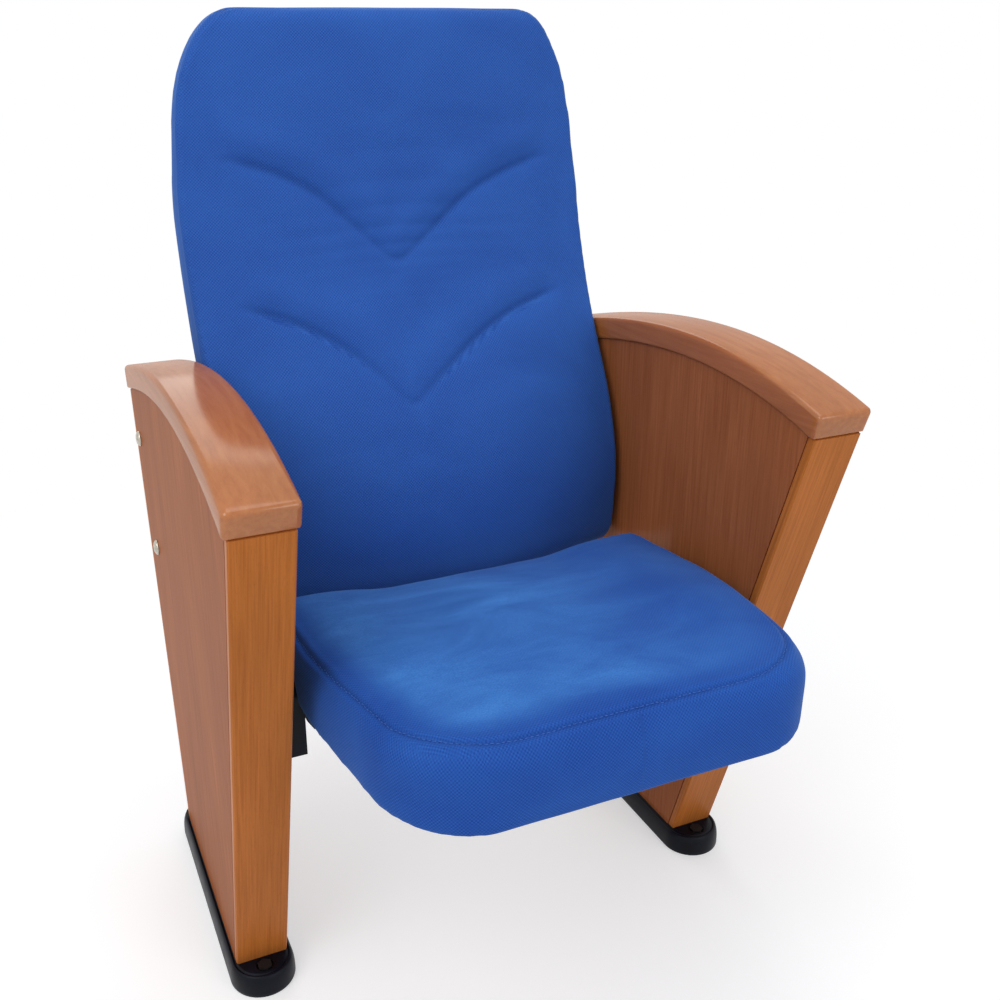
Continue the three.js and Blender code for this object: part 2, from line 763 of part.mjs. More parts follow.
placePair('back_bracket', backBracket(), steel);
for (const { name, y, z } of bracketBolts) {
  placePair(`bracket_bolt_${name}`, bracketBolt(y, z), bright);
}
for (const { name, z } of shellScrewHeights) {
  placePair(`shell_screw_${name}`, shellScrew(z), steel);
}

// Back

const shellScrewBores = shellScrewHeights.flatMap(({ z }) => [-1, 1].map((side) => (
  shellRod(shellScrewRadius + seam, -shellScrewDepth - seam, overrun, side * shellScrewPlace, z))));
place('back_cushion', loft(backRows().map(backRing)), fabric);
place('back_shell', cut(backShell(), ...shellScrewBores), plywood);

// Seat hinges

const hingePlateInner = innerFace - seam - hingePlateThickness;
const armOuter = armInner + armPlate;
const eyeRadius = pinRadius + bushWall + eyeWall;
const armTop = boardUnder - seam;

function roundedSquare(half, corner, y, z) {
  const points = [];
  for (let quarter = 0; quarter < 4; quarter += 1) {
    for (let i = 0; i <= 4; i += 1) {
      const angle = Math.PI / 2 * (quarter + i / 4);
      const across = half - corner;
      const signY = quarter === 0 || quarter === 3 ? 1 : -1;
      const signZ = quarter < 2 ? 1 : -1;
      points.push([y + signY * across + corner * Math.cos(angle),
        z + signZ * across + corner * Math.sin(angle)]);
    }
  }
  return points;
}

function hingePlate() {
  const plate = sideways(roundedSquare(hingePlateHalf, hingePlateCorner, pivotY, pivotZ), hingePlateInner,
    innerFace - seam);
  const bore = rodX(pinRadius + seam, hingePlateInner - overrun, innerFace + overrun, pivotY, pivotZ);
  return cut(plate, ...hingeBores, bore);
}

function hingeBolt(side) {
  const y = pivotY + hingeBoltPlace;
  const z = pivotZ + side * hingeBoltPlace;
  const headFar = hingePlateInner - seam;
  const nutNear = innerFace + boardThickness + seam;
  return join(rodX(hingeBoltRadius, headFar - hingeBoltHeadHeight / 2, nutNear + boltNutHeight, y, z),
    rodX(hingeBoltHeadRadius, headFar - hingeBoltHeadHeight, headFar, y, z, hexSides),
    rodX(boltNutRadius, nutNear, nutNear + boltNutHeight, y, z, hexSides));
}

function pivotPin() {
  return rodX(pinRadius, armInner - armPlate / 2, innerFace - 2 * seam, pivotY, pivotZ);
}

function housing() {
  const to = hingePlateInner - seam;
  const toeFront = pivotY - housingRadius;
  const toe = block(housingInner, to, toeFront, toeFront + housingToeLength,
    pivotZ - housingToeDepth, pivotZ);
  const drum = rodX(housingRadius, housingInner, to, pivotY, pivotZ, fineSides);
  const hollow = rodX(housingRadius - housingWall, housingInner + housingWall, innerFace + overrun, pivotY,
    pivotZ, fineSides);
  const bore = rodX(pinRadius + seam, housingInner - overrun, innerFace, pivotY, pivotZ);
  return cut(join(drum, toe), hollow, bore);
}

class SpringLine extends THREE.Curve {
  getPoint(share) {
    const angle = share * springTurns * Math.PI * 2;
    const from = housingInner + housingWall + springWire;
    const to = hingePlateInner - seam - springWire;
    return new THREE.Vector3(mix(from, to, share), pivotY + springCore * Math.cos(angle),
      pivotZ + springCore * Math.sin(angle));
  }
}

function returnSpring() {
  const wire = new THREE.Shape(Array.from({ length: hexSides }, (_, i) => {
    const angle = Math.PI * 2 * i / hexSides;
    return new THREE.Vector2(springWire / 2 * Math.cos(angle), springWire / 2 * Math.sin(angle));
  }));
  return new THREE.ExtrudeGeometry(wire, { steps: springTurns * springSteps, extrudePath: new SpringLine(),
    bevelEnabled: false });
}

function seatArm() {
  const foot = armTop - armDepth;
  const nose = pivotY - armReach;
  const tail = pivotY + armTail;
  const webFront = pivotY - webHalfWidth;
  const webRear = pivotY + webHalfWidth;
  const profile = [[nose, armTop - armNose], [pivotY - armReach / 2, foot], [tail, foot], [tail, armTop],
    [webRear, armTop], [webRear, pivotZ], [webFront, pivotZ], [webFront, armTop], [nose, armTop]];
  const plate = join(sideways(profile, armInner, armOuter),
    rodX(eyeRadius, armInner, armOuter, pivotY, pivotZ, bushSides));
  return cut(plate, rodX(pinRadius + bushWall, armInner - overrun, armOuter + overrun, pivotY, pivotZ,
    bushSides));
}

function pivotBush() {
  const sleeve = rodX(pinRadius + bushWall - seam, armInner - seam, armOuter + seam, pivotY, pivotZ,
    bushSides);
  const collar = rodX(eyeRadius - seam, armOuter + seam, housingInner - 2 * seam, pivotY, pivotZ, bushSides);
  const bore = rodX(pinRadius + seam, armInner - overrun, armOuter + overrun, pivotY, pivotZ);
  return cut(join(sleeve, collar), bore);
}

const stopFar = housingInner - seam;

function downStop() {
  const z = armTop + seam + downStopRadius;
  return rodX(downStopRadius, armInner, stopFar, pivotY + downStopPlace, z, stopSides);
}

function upStop() {
  const angle = THREE.MathUtils.degToRad(tipAngle);
  const ahead = webHalfWidth + upStopRadius + seam;
  const above = armTop - pivotZ + upStopRadius + 2 * seam;
  return rodX(upStopRadius, armInner, stopFar, pivotY - ahead * Math.cos(angle) + above * Math.sin(angle),
    pivotZ + ahead * Math.sin(angle) + above * Math.cos(angle), stopSides);
}

placePair('hinge_plate', hingePlate(), steel);
placePair('hinge_housing', housing(), plastic);
for (const { name, side } of hingeBolts) {
  placePair(`hinge_bolt_${name}`, hingeBolt(side), steel);
}
placePair('pivot_pin', pivotPin(), bright);
placePair('return_spring', returnSpring(), bright);
placePair('down_stop', downStop(), rubber);
placePair('up_stop', upStop(), rubber);
placePair('seat_arm', seatArm(), steel);
placePair('pivot_bush', pivotBush(), plastic);

// Seat

const railTop = boardUnder - seam;
const railFoot = railTop - railSize;

function boardScrewBore(x, y) {
  const top = boardUnder + boardScrewDepth + seam;
  return rodZ(boardScrewRadius + seam, railFoot - overrun, top, x, y, smallSides);
}

function rail(y) {
  const half = armInner - seam;
  const outer = block(-half, half, y - railSize / 2, y + railSize / 2, railFoot, railTop);
  const inner = block(-half - overrun, half + overrun, y - railSize / 2 + railWall,
    y + railSize / 2 - railWall, railFoot + railWall, railTop - railWall);
  return cut(outer, inner, ...[-1, 1].map((side) => boardScrewBore(side * boardScrewPlace, y)));
}

function boardScrew(x, y) {
  const headTop = railFoot - seam;
  return join(
    rodZ(boardScrewRadius, headTop - boardScrewHeadHeight / 2, boardUnder + boardScrewDepth, x, y,
      smallSides),
    rodZ(boardScrewHeadRadius, headTop - boardScrewHeadHeight, headTop, x, y, headSides),
  );
}

place('seat_cushion', seatCushion(), fabric);
place('seat_board', cut(seatBoard(), ...railPlaces.flatMap(({ y }) => [-1, 1].map((side) => (
  boardScrewBore(side * boardScrewPlace, y))))), plywood);
for (const { name, y } of railPlaces) {
  place(`seat_rail_${name}`, rail(y), steel);
  placePair(`board_screw_${name}`, boardScrew(boardScrewPlace, y), steel);
}

export default chair;
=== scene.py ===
# A tip-up auditorium seat: blue woven upholstery, red-brown lacquered wood, black plastic and steel.
import json
import math
import bmesh
import bpy
import numpy as np
from mathutils import Matrix, Vector
from mathutils.bvhtree import BVHTree
from mathutils.kdtree import KDTree

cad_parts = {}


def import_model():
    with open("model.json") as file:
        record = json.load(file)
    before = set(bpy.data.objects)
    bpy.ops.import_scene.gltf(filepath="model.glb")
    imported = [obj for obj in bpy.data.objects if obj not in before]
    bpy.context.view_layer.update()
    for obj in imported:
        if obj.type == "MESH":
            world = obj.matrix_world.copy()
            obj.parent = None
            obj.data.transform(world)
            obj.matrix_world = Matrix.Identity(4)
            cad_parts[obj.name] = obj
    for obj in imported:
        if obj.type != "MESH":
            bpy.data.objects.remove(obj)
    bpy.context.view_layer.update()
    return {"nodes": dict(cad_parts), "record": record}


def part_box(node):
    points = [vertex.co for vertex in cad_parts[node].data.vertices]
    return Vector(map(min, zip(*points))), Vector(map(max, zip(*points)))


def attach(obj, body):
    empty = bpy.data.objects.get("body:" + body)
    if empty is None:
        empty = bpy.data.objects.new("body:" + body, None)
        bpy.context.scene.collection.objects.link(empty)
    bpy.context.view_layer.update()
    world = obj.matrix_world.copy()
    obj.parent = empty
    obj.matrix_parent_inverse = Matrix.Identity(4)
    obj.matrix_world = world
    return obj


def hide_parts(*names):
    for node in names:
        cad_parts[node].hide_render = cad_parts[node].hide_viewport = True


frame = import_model()
nodes = frame["nodes"]
scene = bpy.context.scene
MM = 0.001
SIDES = (("left", -1), ("right", 1))


# Places taken from the frame

arm_low, arm_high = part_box("armrest_right")
shoe_low, shoe_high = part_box("shoe_right")
back_low, back_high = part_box("back_cushion")
seat_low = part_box("seat_cushion")[0]
seat_arm_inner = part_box("seat_arm_right")[0].x
housing_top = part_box("hinge_housing_right")[1].z
panel_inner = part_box("inner_panel_right")[0].x
panel_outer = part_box("outer_panel_right")[1].x
panel_middle = (panel_inner + panel_outer) / 2
pin_low, pin_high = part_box("pivot_pin_right")
pivot_y = (pin_low.y + pin_high.y) / 2
pivot_z = (pin_low.z + pin_high.z) / 2


# Node trees, objects and meshes

def linear(code):
    """sRGB hex to a linear colour with alpha."""
    values = [int(code[i:i + 2], 16) / 255 for i in (1, 3, 5)]
    return [v / 12.92 if v <= 0.04045 else ((v + 0.055) / 1.055) ** 2.4 for v in values] + [1]


def add(tree, kind, inputs=None, stops=(), **settings):
    """A node with its settings. An input is a value, or a node or one of its outputs to link. A name
    finds the socket in use, as a Mix node has several of one name. stops are a colour ramp's places, with
    their colours as sRGB hex or as linear values."""
    node = tree.nodes.new(kind)
    for _ in stops[2:]:
        node.color_ramp.elements.new(0.5)
    for number, (position, colour) in enumerate(stops):
        node.color_ramp.elements[number].position = position
        node.color_ramp.elements[number].color = linear(colour) if isinstance(colour, str) else colour
    for name, value in settings.items():
        setattr(node, name, value)
    for name, value in (inputs or {}).items():
        socket = next(item for place, item in enumerate(node.inputs)
                      if place == name or item.name == name and item.enabled)
        if isinstance(value, bpy.types.Node):
            value = next(item for item in value.outputs if item.enabled)
        if isinstance(value, bpy.types.NodeSocket):
            tree.links.new(value, socket)
        else:
            socket.default_value = value
    return node


def new_material(name):
    """A material with an empty tree, and the place on the object that its patterns read."""
    material = bpy.data.materials.new(name)
    material.use_nodes = True
    tree = material.node_tree
    tree.nodes.clear()
    return material, tree, add(tree, "ShaderNodeTexCoord").outputs["Object"]


def grey(value):
    return value, value, value, 1


def new_object(name, data):
    piece = bpy.data.objects.new(name, data)
    scene.collection.objects.link(piece)
    return piece


def shade_smooth(mesh):
    mesh.polygons.foreach_set("use_smooth", [True] * len(mesh.polygons))


def mesh_object(name, points, faces):
    mesh = bpy.data.meshes.new(name)
    mesh.from_pydata([tuple(p) for p in points], [], [tuple(f) for f in faces])
    mesh.validate()
    mesh.update()
    shade_smooth(mesh)
    return new_object(name, mesh)


def loft(rings):
    """Points and faces of a closed body through rings that all hold the same count."""
    count = len(rings[0])
    points = [p for ring in rings for p in ring]
    faces = []
    for row in range(len(rings) - 1):
        for i in range(count):
            a, b = row * count + i, row * count + (i + 1) % count
            faces.append((a, b, b + count, a + count))
    faces.append(tuple(reversed(range(count))))
    faces.append(tuple(range((len(rings) - 1) * count, len(rings) * count)))
    return points, faces


def face_outwards(piece):
    """Doubles are merged, and every face is turned outwards."""
    shape = bmesh.new()
    shape.from_mesh(piece.data)
    bmesh.ops.remove_doubles(shape, verts=shape.verts, dist=1e-6)
    bmesh.ops.recalc_face_normals(shape, faces=shape.faces)
    if shape.calc_volume(signed=True) < 0:
        bmesh.ops.reverse_faces(shape, faces=shape.faces)
    shape.to_mesh(piece.data)
    shape.free()
    return piece


def bake(piece):
    """The evaluated mesh replaces the piece's own, and its modifiers go."""
    result = bpy.data.meshes.new_from_object(piece.evaluated_get(evaluated_graph()))
    old = piece.data
    piece.modifiers.clear()
    piece.data = result
    bpy.data.meshes.remove(old)


def evaluated_graph():
    graph = bpy.context.evaluated_depsgraph_get()
    graph.update()
    return graph


def per_vertex(mesh, name):
    values = np.empty(len(mesh.vertices) * 3)
    mesh.vertices.foreach_get(name, values)
    return values.reshape(-1, 3)


def set_coordinates(mesh, values):
    mesh.vertices.foreach_set("co", np.ascontiguousarray(values, dtype=np.float32).ravel())
    mesh.update()


def remesh(piece, voxel):
    """The piece's form in even faces of about the voxel's size."""
    modifier = piece.modifiers.new("even", "REMESH")
    modifier.mode = "VOXEL"
    modifier.voxel_size = voxel
    modifier.use_smooth_shade = True
    relax = piece.modifiers.new("relax", "SMOOTH")
    relax.factor = 0.5
    relax.iterations = 4
    bake(piece)


def subdivide(piece):
    modifier = piece.modifiers.new("fine", "SUBSURF")
    modifier.levels = 1
    modifier.render_levels = 1
    bake(piece)


def subtract(piece, tool):
    """The tool's form is cut out of the piece, and the tool goes."""
    modifier = piece.modifiers.new("cut", "BOOLEAN")
    modifier.operation = "DIFFERENCE"
    modifier.solver = "EXACT"
    modifier.object = tool
    bake(piece)
    bpy.data.objects.remove(tool)


def set_attribute(mesh, name, values):
    """One value for each point, for a material to read."""
    layer = mesh.attributes.new(name, "FLOAT", "POINT")
    layer.data.foreach_set("value", np.ascontiguousarray(values, dtype=np.float32))


def finish_piece(piece, material, body, slot, *replaced):
    piece.data.materials.clear()
    piece.data.materials.append(material)
    if replaced:
        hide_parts(*replaced)
    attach(piece, body)


# Curves and forms

def mix(a, b, share):
    return a + (b - a) * share


def smooth_step(share):
    share = np.clip(share, 0, 1)
    return share * share * (3 - 2 * share)


def round_off(radius, inside):
    """How far a rounded corner stands back, this far inside its end."""
    past = np.clip(radius - inside, 0, radius)
    return radius - np.sqrt(np.maximum(0, radius * radius - past * past))


def swell(distance, width):
    """1 on a line, dying away to both sides over the width."""
    return np.exp(-(distance / width) ** 2)


def crowded(low, high, count, crowding):
    """Places from low to high that crowd towards both ends."""
    turn = np.linspace(0, math.pi, count)
    return mix(low, high, (1 - np.cos(turn)) / 2 * crowding + np.linspace(0, 1, count) * (1 - crowding))


def circle(radius, count, centre=(0, 0)):
    """Points of a circle, evenly spread."""
    return [(centre[0] + radius * math.cos(a), centre[1] + radius * math.sin(a))
            for a in np.linspace(0, 2 * math.pi, count, endpoint=False)]


def lengths_along(path):
    """How far along the path each of its points is."""
    return np.concatenate([[0], np.cumsum(np.linalg.norm(np.diff(path, axis=0), axis=1))])


def nearest_on(points, path):
    """For each point the number of the nearest place on the path, and the distance to it."""
    tree = KDTree(len(path))
    for index, place in enumerate(path):
        tree.insert(place, index)
    tree.balance()
    found = [tree.find(point) for point in points]
    return np.array([index for _, index, _ in found]), np.array([away for _, _, away in found])


def distance_to(points, path):
    return nearest_on(points, path)[1]


def spline(points, steps=12):
    """Catmull-Rom curve through the points, as a fine list."""
    line = []
    for i in range(len(points) - 1):
        before = points[max(0, i - 1)]
        after = points[min(len(points) - 1, i + 2)]
        for step in range(steps):
            t = step / steps
            pair = []
            for k in (0, 1):
                v0 = (points[i + 1][k] - before[k]) / 2
                v1 = (after[k] - points[i][k]) / 2
                a, b = points[i][k], points[i + 1][k]
                pair.append((2 * a - 2 * b + v0 + v1) * t ** 3 + (-3 * a + 3 * b - 2 * v0 - v1) * t ** 2
                            + v0 * t + a)
            line.append(pair)
    line.append(list(points[-1]))
    return np.array(line)


def dense(path, step=1.5 * MM):
    """The path's points again, this far apart."""
    path = np.array(path)
    along = lengths_along(path)
    places = np.linspace(0, along[-1], max(2, int(along[-1] / step)))
    return np.column_stack([np.interp(places, along, path[:, k]) for k in range(3)])


# Materials

THREAD_PITCH = 1.7 * MM
VENEER_LAYER = 1.4
TINT = {"data_type": "RGBA", "blend_type": "MULTIPLY"}


def woven_upholstery(name, dull, bright, smoothed):
    """Plain-woven polyester with a short pile. Crossing threads show as fine rows of dots, and where the pile
    is brushed flat they vanish under paler, streaky patches. Threads are drawn 1.7 mm apart, coarser than
    real, so that they show. The attribute nap says where the cloth is brushed. On the seat it also holds
    painted light: the pale patches fade out towards the right, as if lit from the left. The attribute crease
    holds painted shade. It darkens the cloth along the seams and the sewn channel lines, where a seam pulls
    the cloth in."""
    material, tree, place = new_material(name)
    flat = add(tree, "ShaderNodeUVMap", uv_map="weave")
    slip = add(tree, "ShaderNodeTexNoise", {"Vector": place, "Scale": 1 / (7 * MM)})
    slipped = add(tree, "ShaderNodeVectorMath", {0: slip.outputs["Color"], 1: (0.6 * MM,) * 3, 2: flat},
                  operation="MULTIPLY_ADD")
    part = add(tree, "ShaderNodeSeparateXYZ", {0: slipped})
    waves = []
    for axis in (0, 1):
        turn = add(tree, "ShaderNodeMath", {0: part.outputs[axis], 1: math.pi / THREAD_PITCH},
                   operation="MULTIPLY")
        waves.append(add(tree, "ShaderNodeMath", {0: turn}, operation="SINE"))
    crossing = add(tree, "ShaderNodeMath", {0: waves[0], 1: waves[1]}, operation="MULTIPLY")
    wear = add(tree, "ShaderNodeTexNoise", {"Vector": place, "Scale": 1 / (5 * MM), "Detail": 3.0,
                                            "Roughness": 0.7})
    plainer = add(tree, "ShaderNodeMapRange", {"Value": wear, "From Min": 0.35, "From Max": 0.65,
                                               "To Min": 0.12, "To Max": 0.5})
    weave = add(tree, "ShaderNodeMath", {0: crossing, 1: plainer, 2: 0.5}, operation="MULTIPLY_ADD")
    nap_and_painted_light = add(tree, "ShaderNodeAttribute", attribute_name="nap_and_painted_light")
    stroke_place = add(tree, "ShaderNodeMapping", {
        "Vector": place, "Rotation": (0, 0, 0.7), "Scale": (1 / (120 * MM), 1 / (65 * MM), 1 / (80 * MM))})
    stroke = add(tree, "ShaderNodeTexNoise", {"Vector": stroke_place, "Scale": 1.0, "Detail": 5.0,
                                              "Roughness": 0.55, "Distortion": 0.5})
    patch = add(tree, "ShaderNodeValToRGB", {"Fac": stroke}, stops=[(0.34, grey(0)), (0.7, grey(1))])
    fuzz = add(tree, "ShaderNodeTexNoise", {"Vector": place, "Scale": 1 / (1.6 * MM), "Detail": 3.0,
                                            "Roughness": 0.7})
    thread_tone = add(tree, "ShaderNodeValToRGB", {"Fac": weave}, stops=[(0.1, dull), (0.9, bright)])
    brushed_tone = add(tree, "ShaderNodeValToRGB", {"Fac": fuzz},
                       stops=[(0.3, smoothed[0]), (0.7, smoothed[1])])
    cover = add(tree, "ShaderNodeMath", {0: patch, 1: 0.6, 2: 0.4}, operation="MULTIPLY_ADD")
    share = add(tree, "ShaderNodeMath", {0: nap_and_painted_light.outputs["Fac"], 1: cover}, operation="MULTIPLY")
    cloth = add(tree, "ShaderNodeMix", {"Factor": share, "A": thread_tone, "B": brushed_tone},
                data_type="RGBA")
    shade = add(tree, "ShaderNodeValToRGB", {"Fac": stroke},
                stops=[(0.3, (0.93, 0.93, 0.95, 1)), (0.7, (1.06, 1.07, 1.05, 1))])
    shaded = add(tree, "ShaderNodeMix", {"Factor": 1.0, "A": cloth, "B": shade}, **TINT)
    # Painted shade: along the seams and the sewn channel lines the cloth is darkened towards a dim blue-grey.
    painted_crease_shade = add(tree, "ShaderNodeAttribute", attribute_name="painted_crease_shade")
    colour = add(tree, "ShaderNodeMix", {"Factor": painted_crease_shade.outputs["Fac"], "A": shaded,
                                         "B": (0.45, 0.45, 0.5, 1)}, **TINT)
    relief = add(tree, "ShaderNodeMix", {"Factor": share, "A": weave, "B": fuzz})
    bump = add(tree, "ShaderNodeBump", {"Height": relief, "Strength": 0.5, "Distance": 0.4 * MM})
    shader = add(tree, "ShaderNodeBsdfPrincipled", {
        "Base Color": colour, "Roughness": 0.86, "Normal": bump, "Specular IOR Level": 0.15,
        "Sheen Weight": 0.34, "Sheen Roughness": 0.38, "Sheen Tint": linear("#8FBCF0")})
    add(tree, "ShaderNodeOutputMaterial", {"Surface": shader})
    return material


def lacquered_wood(name, pale, middle, dark, turn, grain, gloss, coat, shine, coat_index=1.5):
    """Beech, stained red-brown under clear lacquer: the stain evens the grain out, so only fine straight
    lines, short darker pores and a slow drift of tone are left. turn tilts the grain from upright, in
    degrees in the side plane, and grain is the spacing of its lines."""
    material, tree, place = new_material(name)
    turned = add(tree, "ShaderNodeMapping", {"Vector": place, "Rotation": (math.radians(turn), 0, 0)})
    patterns = []
    for across, length, inputs in ((grain, 110 * MM, {"Detail": 6.0, "Roughness": 0.55, "Distortion": 0.3}),
                                   (0.8 * MM, 7 * MM, {"Detail": 2.0}), (60 * MM, 260 * MM, {"Detail": 3.0})):
        stretch = add(tree, "ShaderNodeMapping", {
            "Vector": turned, "Scale": (1 / across, 1 / across, 1 / length)})
        patterns.append(add(tree, "ShaderNodeTexNoise", {"Vector": stretch, "Scale": 1.0, **inputs}))
    streak, pore, slow = patterns
    tone = add(tree, "ShaderNodeValToRGB", {"Fac": streak},
               stops=[(0.3, dark), (0.5, middle), (0.7, pale)])
    spots = add(tree, "ShaderNodeValToRGB", {"Fac": pore},
                stops=[(0.58, grey(1)), (0.72, (0.78, 0.73, 0.68, 1))])
    spotted = add(tree, "ShaderNodeMix", {"Factor": 0.45, "A": tone, "B": spots}, **TINT)
    drift = add(tree, "ShaderNodeValToRGB", {"Fac": slow},
                stops=[(0.32, (0.9, 0.89, 0.88, 1)), (0.68, (1.07, 1.06, 1.05, 1))])
    colour = add(tree, "ShaderNodeMix", {"Factor": 1.0, "A": spotted, "B": drift}, **TINT)
    rough = add(tree, "ShaderNodeValToRGB", {"Fac": slow}, stops=[(0.3, grey(0.44)), (0.7, grey(0.36))])
    bump = add(tree, "ShaderNodeBump", {"Height": slow, "Strength": 0.15, "Distance": 0.6 * MM})
    shader = add(tree, "ShaderNodeBsdfPrincipled", {
        "Base Color": colour, "Roughness": rough, "Normal": bump, "Specular IOR Level": shine,
        "Coat Weight": coat, "Coat Roughness": gloss, "Coat IOR": coat_index})
    add(tree, "ShaderNodeOutputMaterial", {"Surface": shader})
    return material


def beech_plywood():
    """Moulded beech plywood, clear satin lacquer: calm grain on the faces, and glued layers on the edges
    where the attribute ply, the depth from the front face in millimetres, changes."""
    material, tree, place = new_material("moulded_beech_plywood")
    stretch = add(tree, "ShaderNodeMapping", {
        "Vector": place, "Scale": (1 / (7 * MM), 1 / (160 * MM), 1 / (160 * MM))})
    streak = add(tree, "ShaderNodeTexNoise", {"Vector": stretch, "Scale": 1.0, "Detail": 6.0,
                                              "Distortion": 0.5})
    grain = add(tree, "ShaderNodeValToRGB", {"Fac": streak},
                stops=[(0.28, "#8F562C"), (0.5, "#A5693A"), (0.75, "#B57946")])
    depth = add(tree, "ShaderNodeAttribute", attribute_name="ply")
    turn = add(tree, "ShaderNodeMath", {0: depth.outputs["Fac"], 1: math.pi / VENEER_LAYER},
               operation="MULTIPLY")
    wave = add(tree, "ShaderNodeMath", {0: turn}, operation="SINE")
    layers = add(tree, "ShaderNodeValToRGB", {"Fac": wave}, stops=[(0.1, "#7A4521"), (0.4, "#C08A55")])
    facing = add(tree, "ShaderNodeSeparateXYZ", {0: add(tree, "ShaderNodeTexCoord").outputs["Normal"]})
    sizes = [add(tree, "ShaderNodeMath", {0: facing.outputs[axis]}, operation="ABSOLUTE") for axis in (0, 2)]
    outermost = add(tree, "ShaderNodeMath", {0: sizes[0], 1: sizes[1]}, operation="MAXIMUM")
    edge = add(tree, "ShaderNodeValToRGB", {"Fac": outermost}, stops=[(0.75, grey(0)), (0.85, grey(1))])
    layered = add(tree, "ShaderNodeMath", {0: depth.outputs["Fac"], 1: 0.001}, operation="GREATER_THAN")
    bare = add(tree, "ShaderNodeMath", {0: edge, 1: layered}, operation="MULTIPLY")
    tone = add(tree, "ShaderNodeMix", {"Factor": bare, "A": grain, "B": layers}, data_type="RGBA")
    bump = add(tree, "ShaderNodeBump", {"Height": streak, "Strength": 0.1, "Distance": 0.2 * MM})
    shader = add(tree, "ShaderNodeBsdfPrincipled", {
        "Base Color": tone, "Roughness": 0.42, "Normal": bump, "Coat Weight": 0.3, "Coat Roughness": 0.25})
    add(tree, "ShaderNodeOutputMaterial", {"Surface": shader})
    return material


def plain_finish(name, patch, tones, roughness, pattern=None, first_stop=0.3, relief=None, surface=None):
    """A finish of one colour, whose tone and roughness drift over patches of one size. relief holds the
    size, the detail and the strength of a finer grain."""
    material, tree, place = new_material(name)
    cloud = add(tree, "ShaderNodeTexNoise", {"Vector": place, "Scale": 1 / patch, **(pattern or {})})
    tone = add(tree, "ShaderNodeValToRGB", {"Fac": cloud},
               stops=[(first_stop, tones[0]), (0.7, tones[1])])
    rough = add(tree, "ShaderNodeValToRGB", {"Fac": cloud},
                stops=[(0.3, grey(roughness[0])), (0.7, grey(roughness[1]))])
    inputs = {"Base Color": tone, "Roughness": rough, **(surface or {})}
    if relief:
        size, detail, strength = relief
        grain = add(tree, "ShaderNodeTexNoise", {"Vector": place, "Scale": 1 / size, "Detail": detail})
        inputs["Normal"] = add(tree, "ShaderNodeBump", {"Height": grain, "Strength": strength,
                                                        "Distance": 0.1 * MM})
    shader = add(tree, "ShaderNodeBsdfPrincipled", inputs)
    add(tree, "ShaderNodeOutputMaterial", {"Surface": shader})
    return material


back_cloth = woven_upholstery("woven_polyester_upholstery", "#1A4093", "#3B6EC2", ("#2C5AAE", "#3768BB"))
seat_cloth = woven_upholstery("brushed_polyester_upholstery", "#10368C", "#2D60B9", ("#3B76C8", "#4C8ED8"))
panel_wood = lacquered_wood("veneered_panel", "#B46C42", "#AA643B", "#9F5A33", turn=0, grain=3.2 * MM,
                            gloss=0.22, coat=0.2, shine=0)
strip_wood, rear_strip_wood = [
    lacquered_wood(name, "#C97838", "#BF7031", "#B06429", turn=tilt, grain=2.2 * MM, gloss=0.35, coat=0.02,
                   shine=0.1)
    for name, tilt in (("beech_edge_strip", -17), ("beech_rear_strip", 8))]
arm_wood = lacquered_wood("beech_armrest", "#BE763E", "#B86E37", "#AF652F", turn=90, grain=6 * MM,
                          gloss=0.15, coat=0.48, shine=0, coat_index=2.0)
plywood = beech_plywood()
# Injection-moulded polypropylene: blue-black, with a fine spark-eroded grain
plastic = plain_finish("black_polypropylene", 22 * MM, ("#080A12", "#0F131F"), (0.34, 0.46),
                       {"Detail": 5.0, "Roughness": 0.7}, first_stop=0.35, relief=(0.9 * MM, 3.0, 0.16),
                       surface={"IOR": 1.49, "Specular IOR Level": 0.15})
# Epoxy powder coat on steel: a low orange-peel ripple, semi-matt
steel = plain_finish("black_powder_coated_steel", 2.2 * MM, ("#141517", "#1F2023"), (0.48, 0.48),
                     relief=(2.2 * MM, 2.0, 0.2), surface={"Specular IOR Level": 0.25})
# Bright zinc on steel: pale, slightly yellow, faintly cloudy
zinc = plain_finish("zinc_plated_steel", 3 * MM, ("#A9A294", "#CFC9BC"), (0.22, 0.36), {"Detail": 4.0},
                    surface={"Metallic": 1.0})
# Moulded nitrile rubber: dull, with a faint bloom
rubber = plain_finish("black_nitrile_rubber", 5 * MM, ("#1A1A1A", "#262626"), (0.85, 0.85), {"Detail": 4.0})
# Bonded polyester thread: a shade paler than the cloth, twisted finely
thread = plain_finish("blue_polyester_thread", 0.6 * MM, ("#2A58B0", "#4474C4"), (0.6, 0.6))

slot_material = {"fabric": back_cloth, "veneered_wood": panel_wood, "lacquered_wood": arm_wood,
                 "plywood": plywood, "black_plastic": plastic, "black_steel": steel, "bright_steel": zinc,
                 "rubber": rubber}
for row in frame["record"]["subparts"]:
    piece = nodes[row["node"]]
    piece.data.materials.clear()
    piece.data.materials.append(slot_material[row["material_slot"]])
for side, _ in SIDES:
    nodes[f"front_strip_{side}"].data.materials[0] = strip_wood
    nodes[f"rear_strip_{side}"].data.materials[0] = rear_strip_wood


# Covers: their padding, seams, weave and stitches

COVER_SHRINK = 1.2 * MM
PUFF_PRESSURE = 4
PUFF_FRAMES = 20
RIPPLE_WAVES = 14
STITCH_SIZES = {"Pitch": 5 * MM, "Stitch length": 3.4 * MM, "Thread width": 0.8 * MM}
STITCH_LIFT = 0.2 * MM


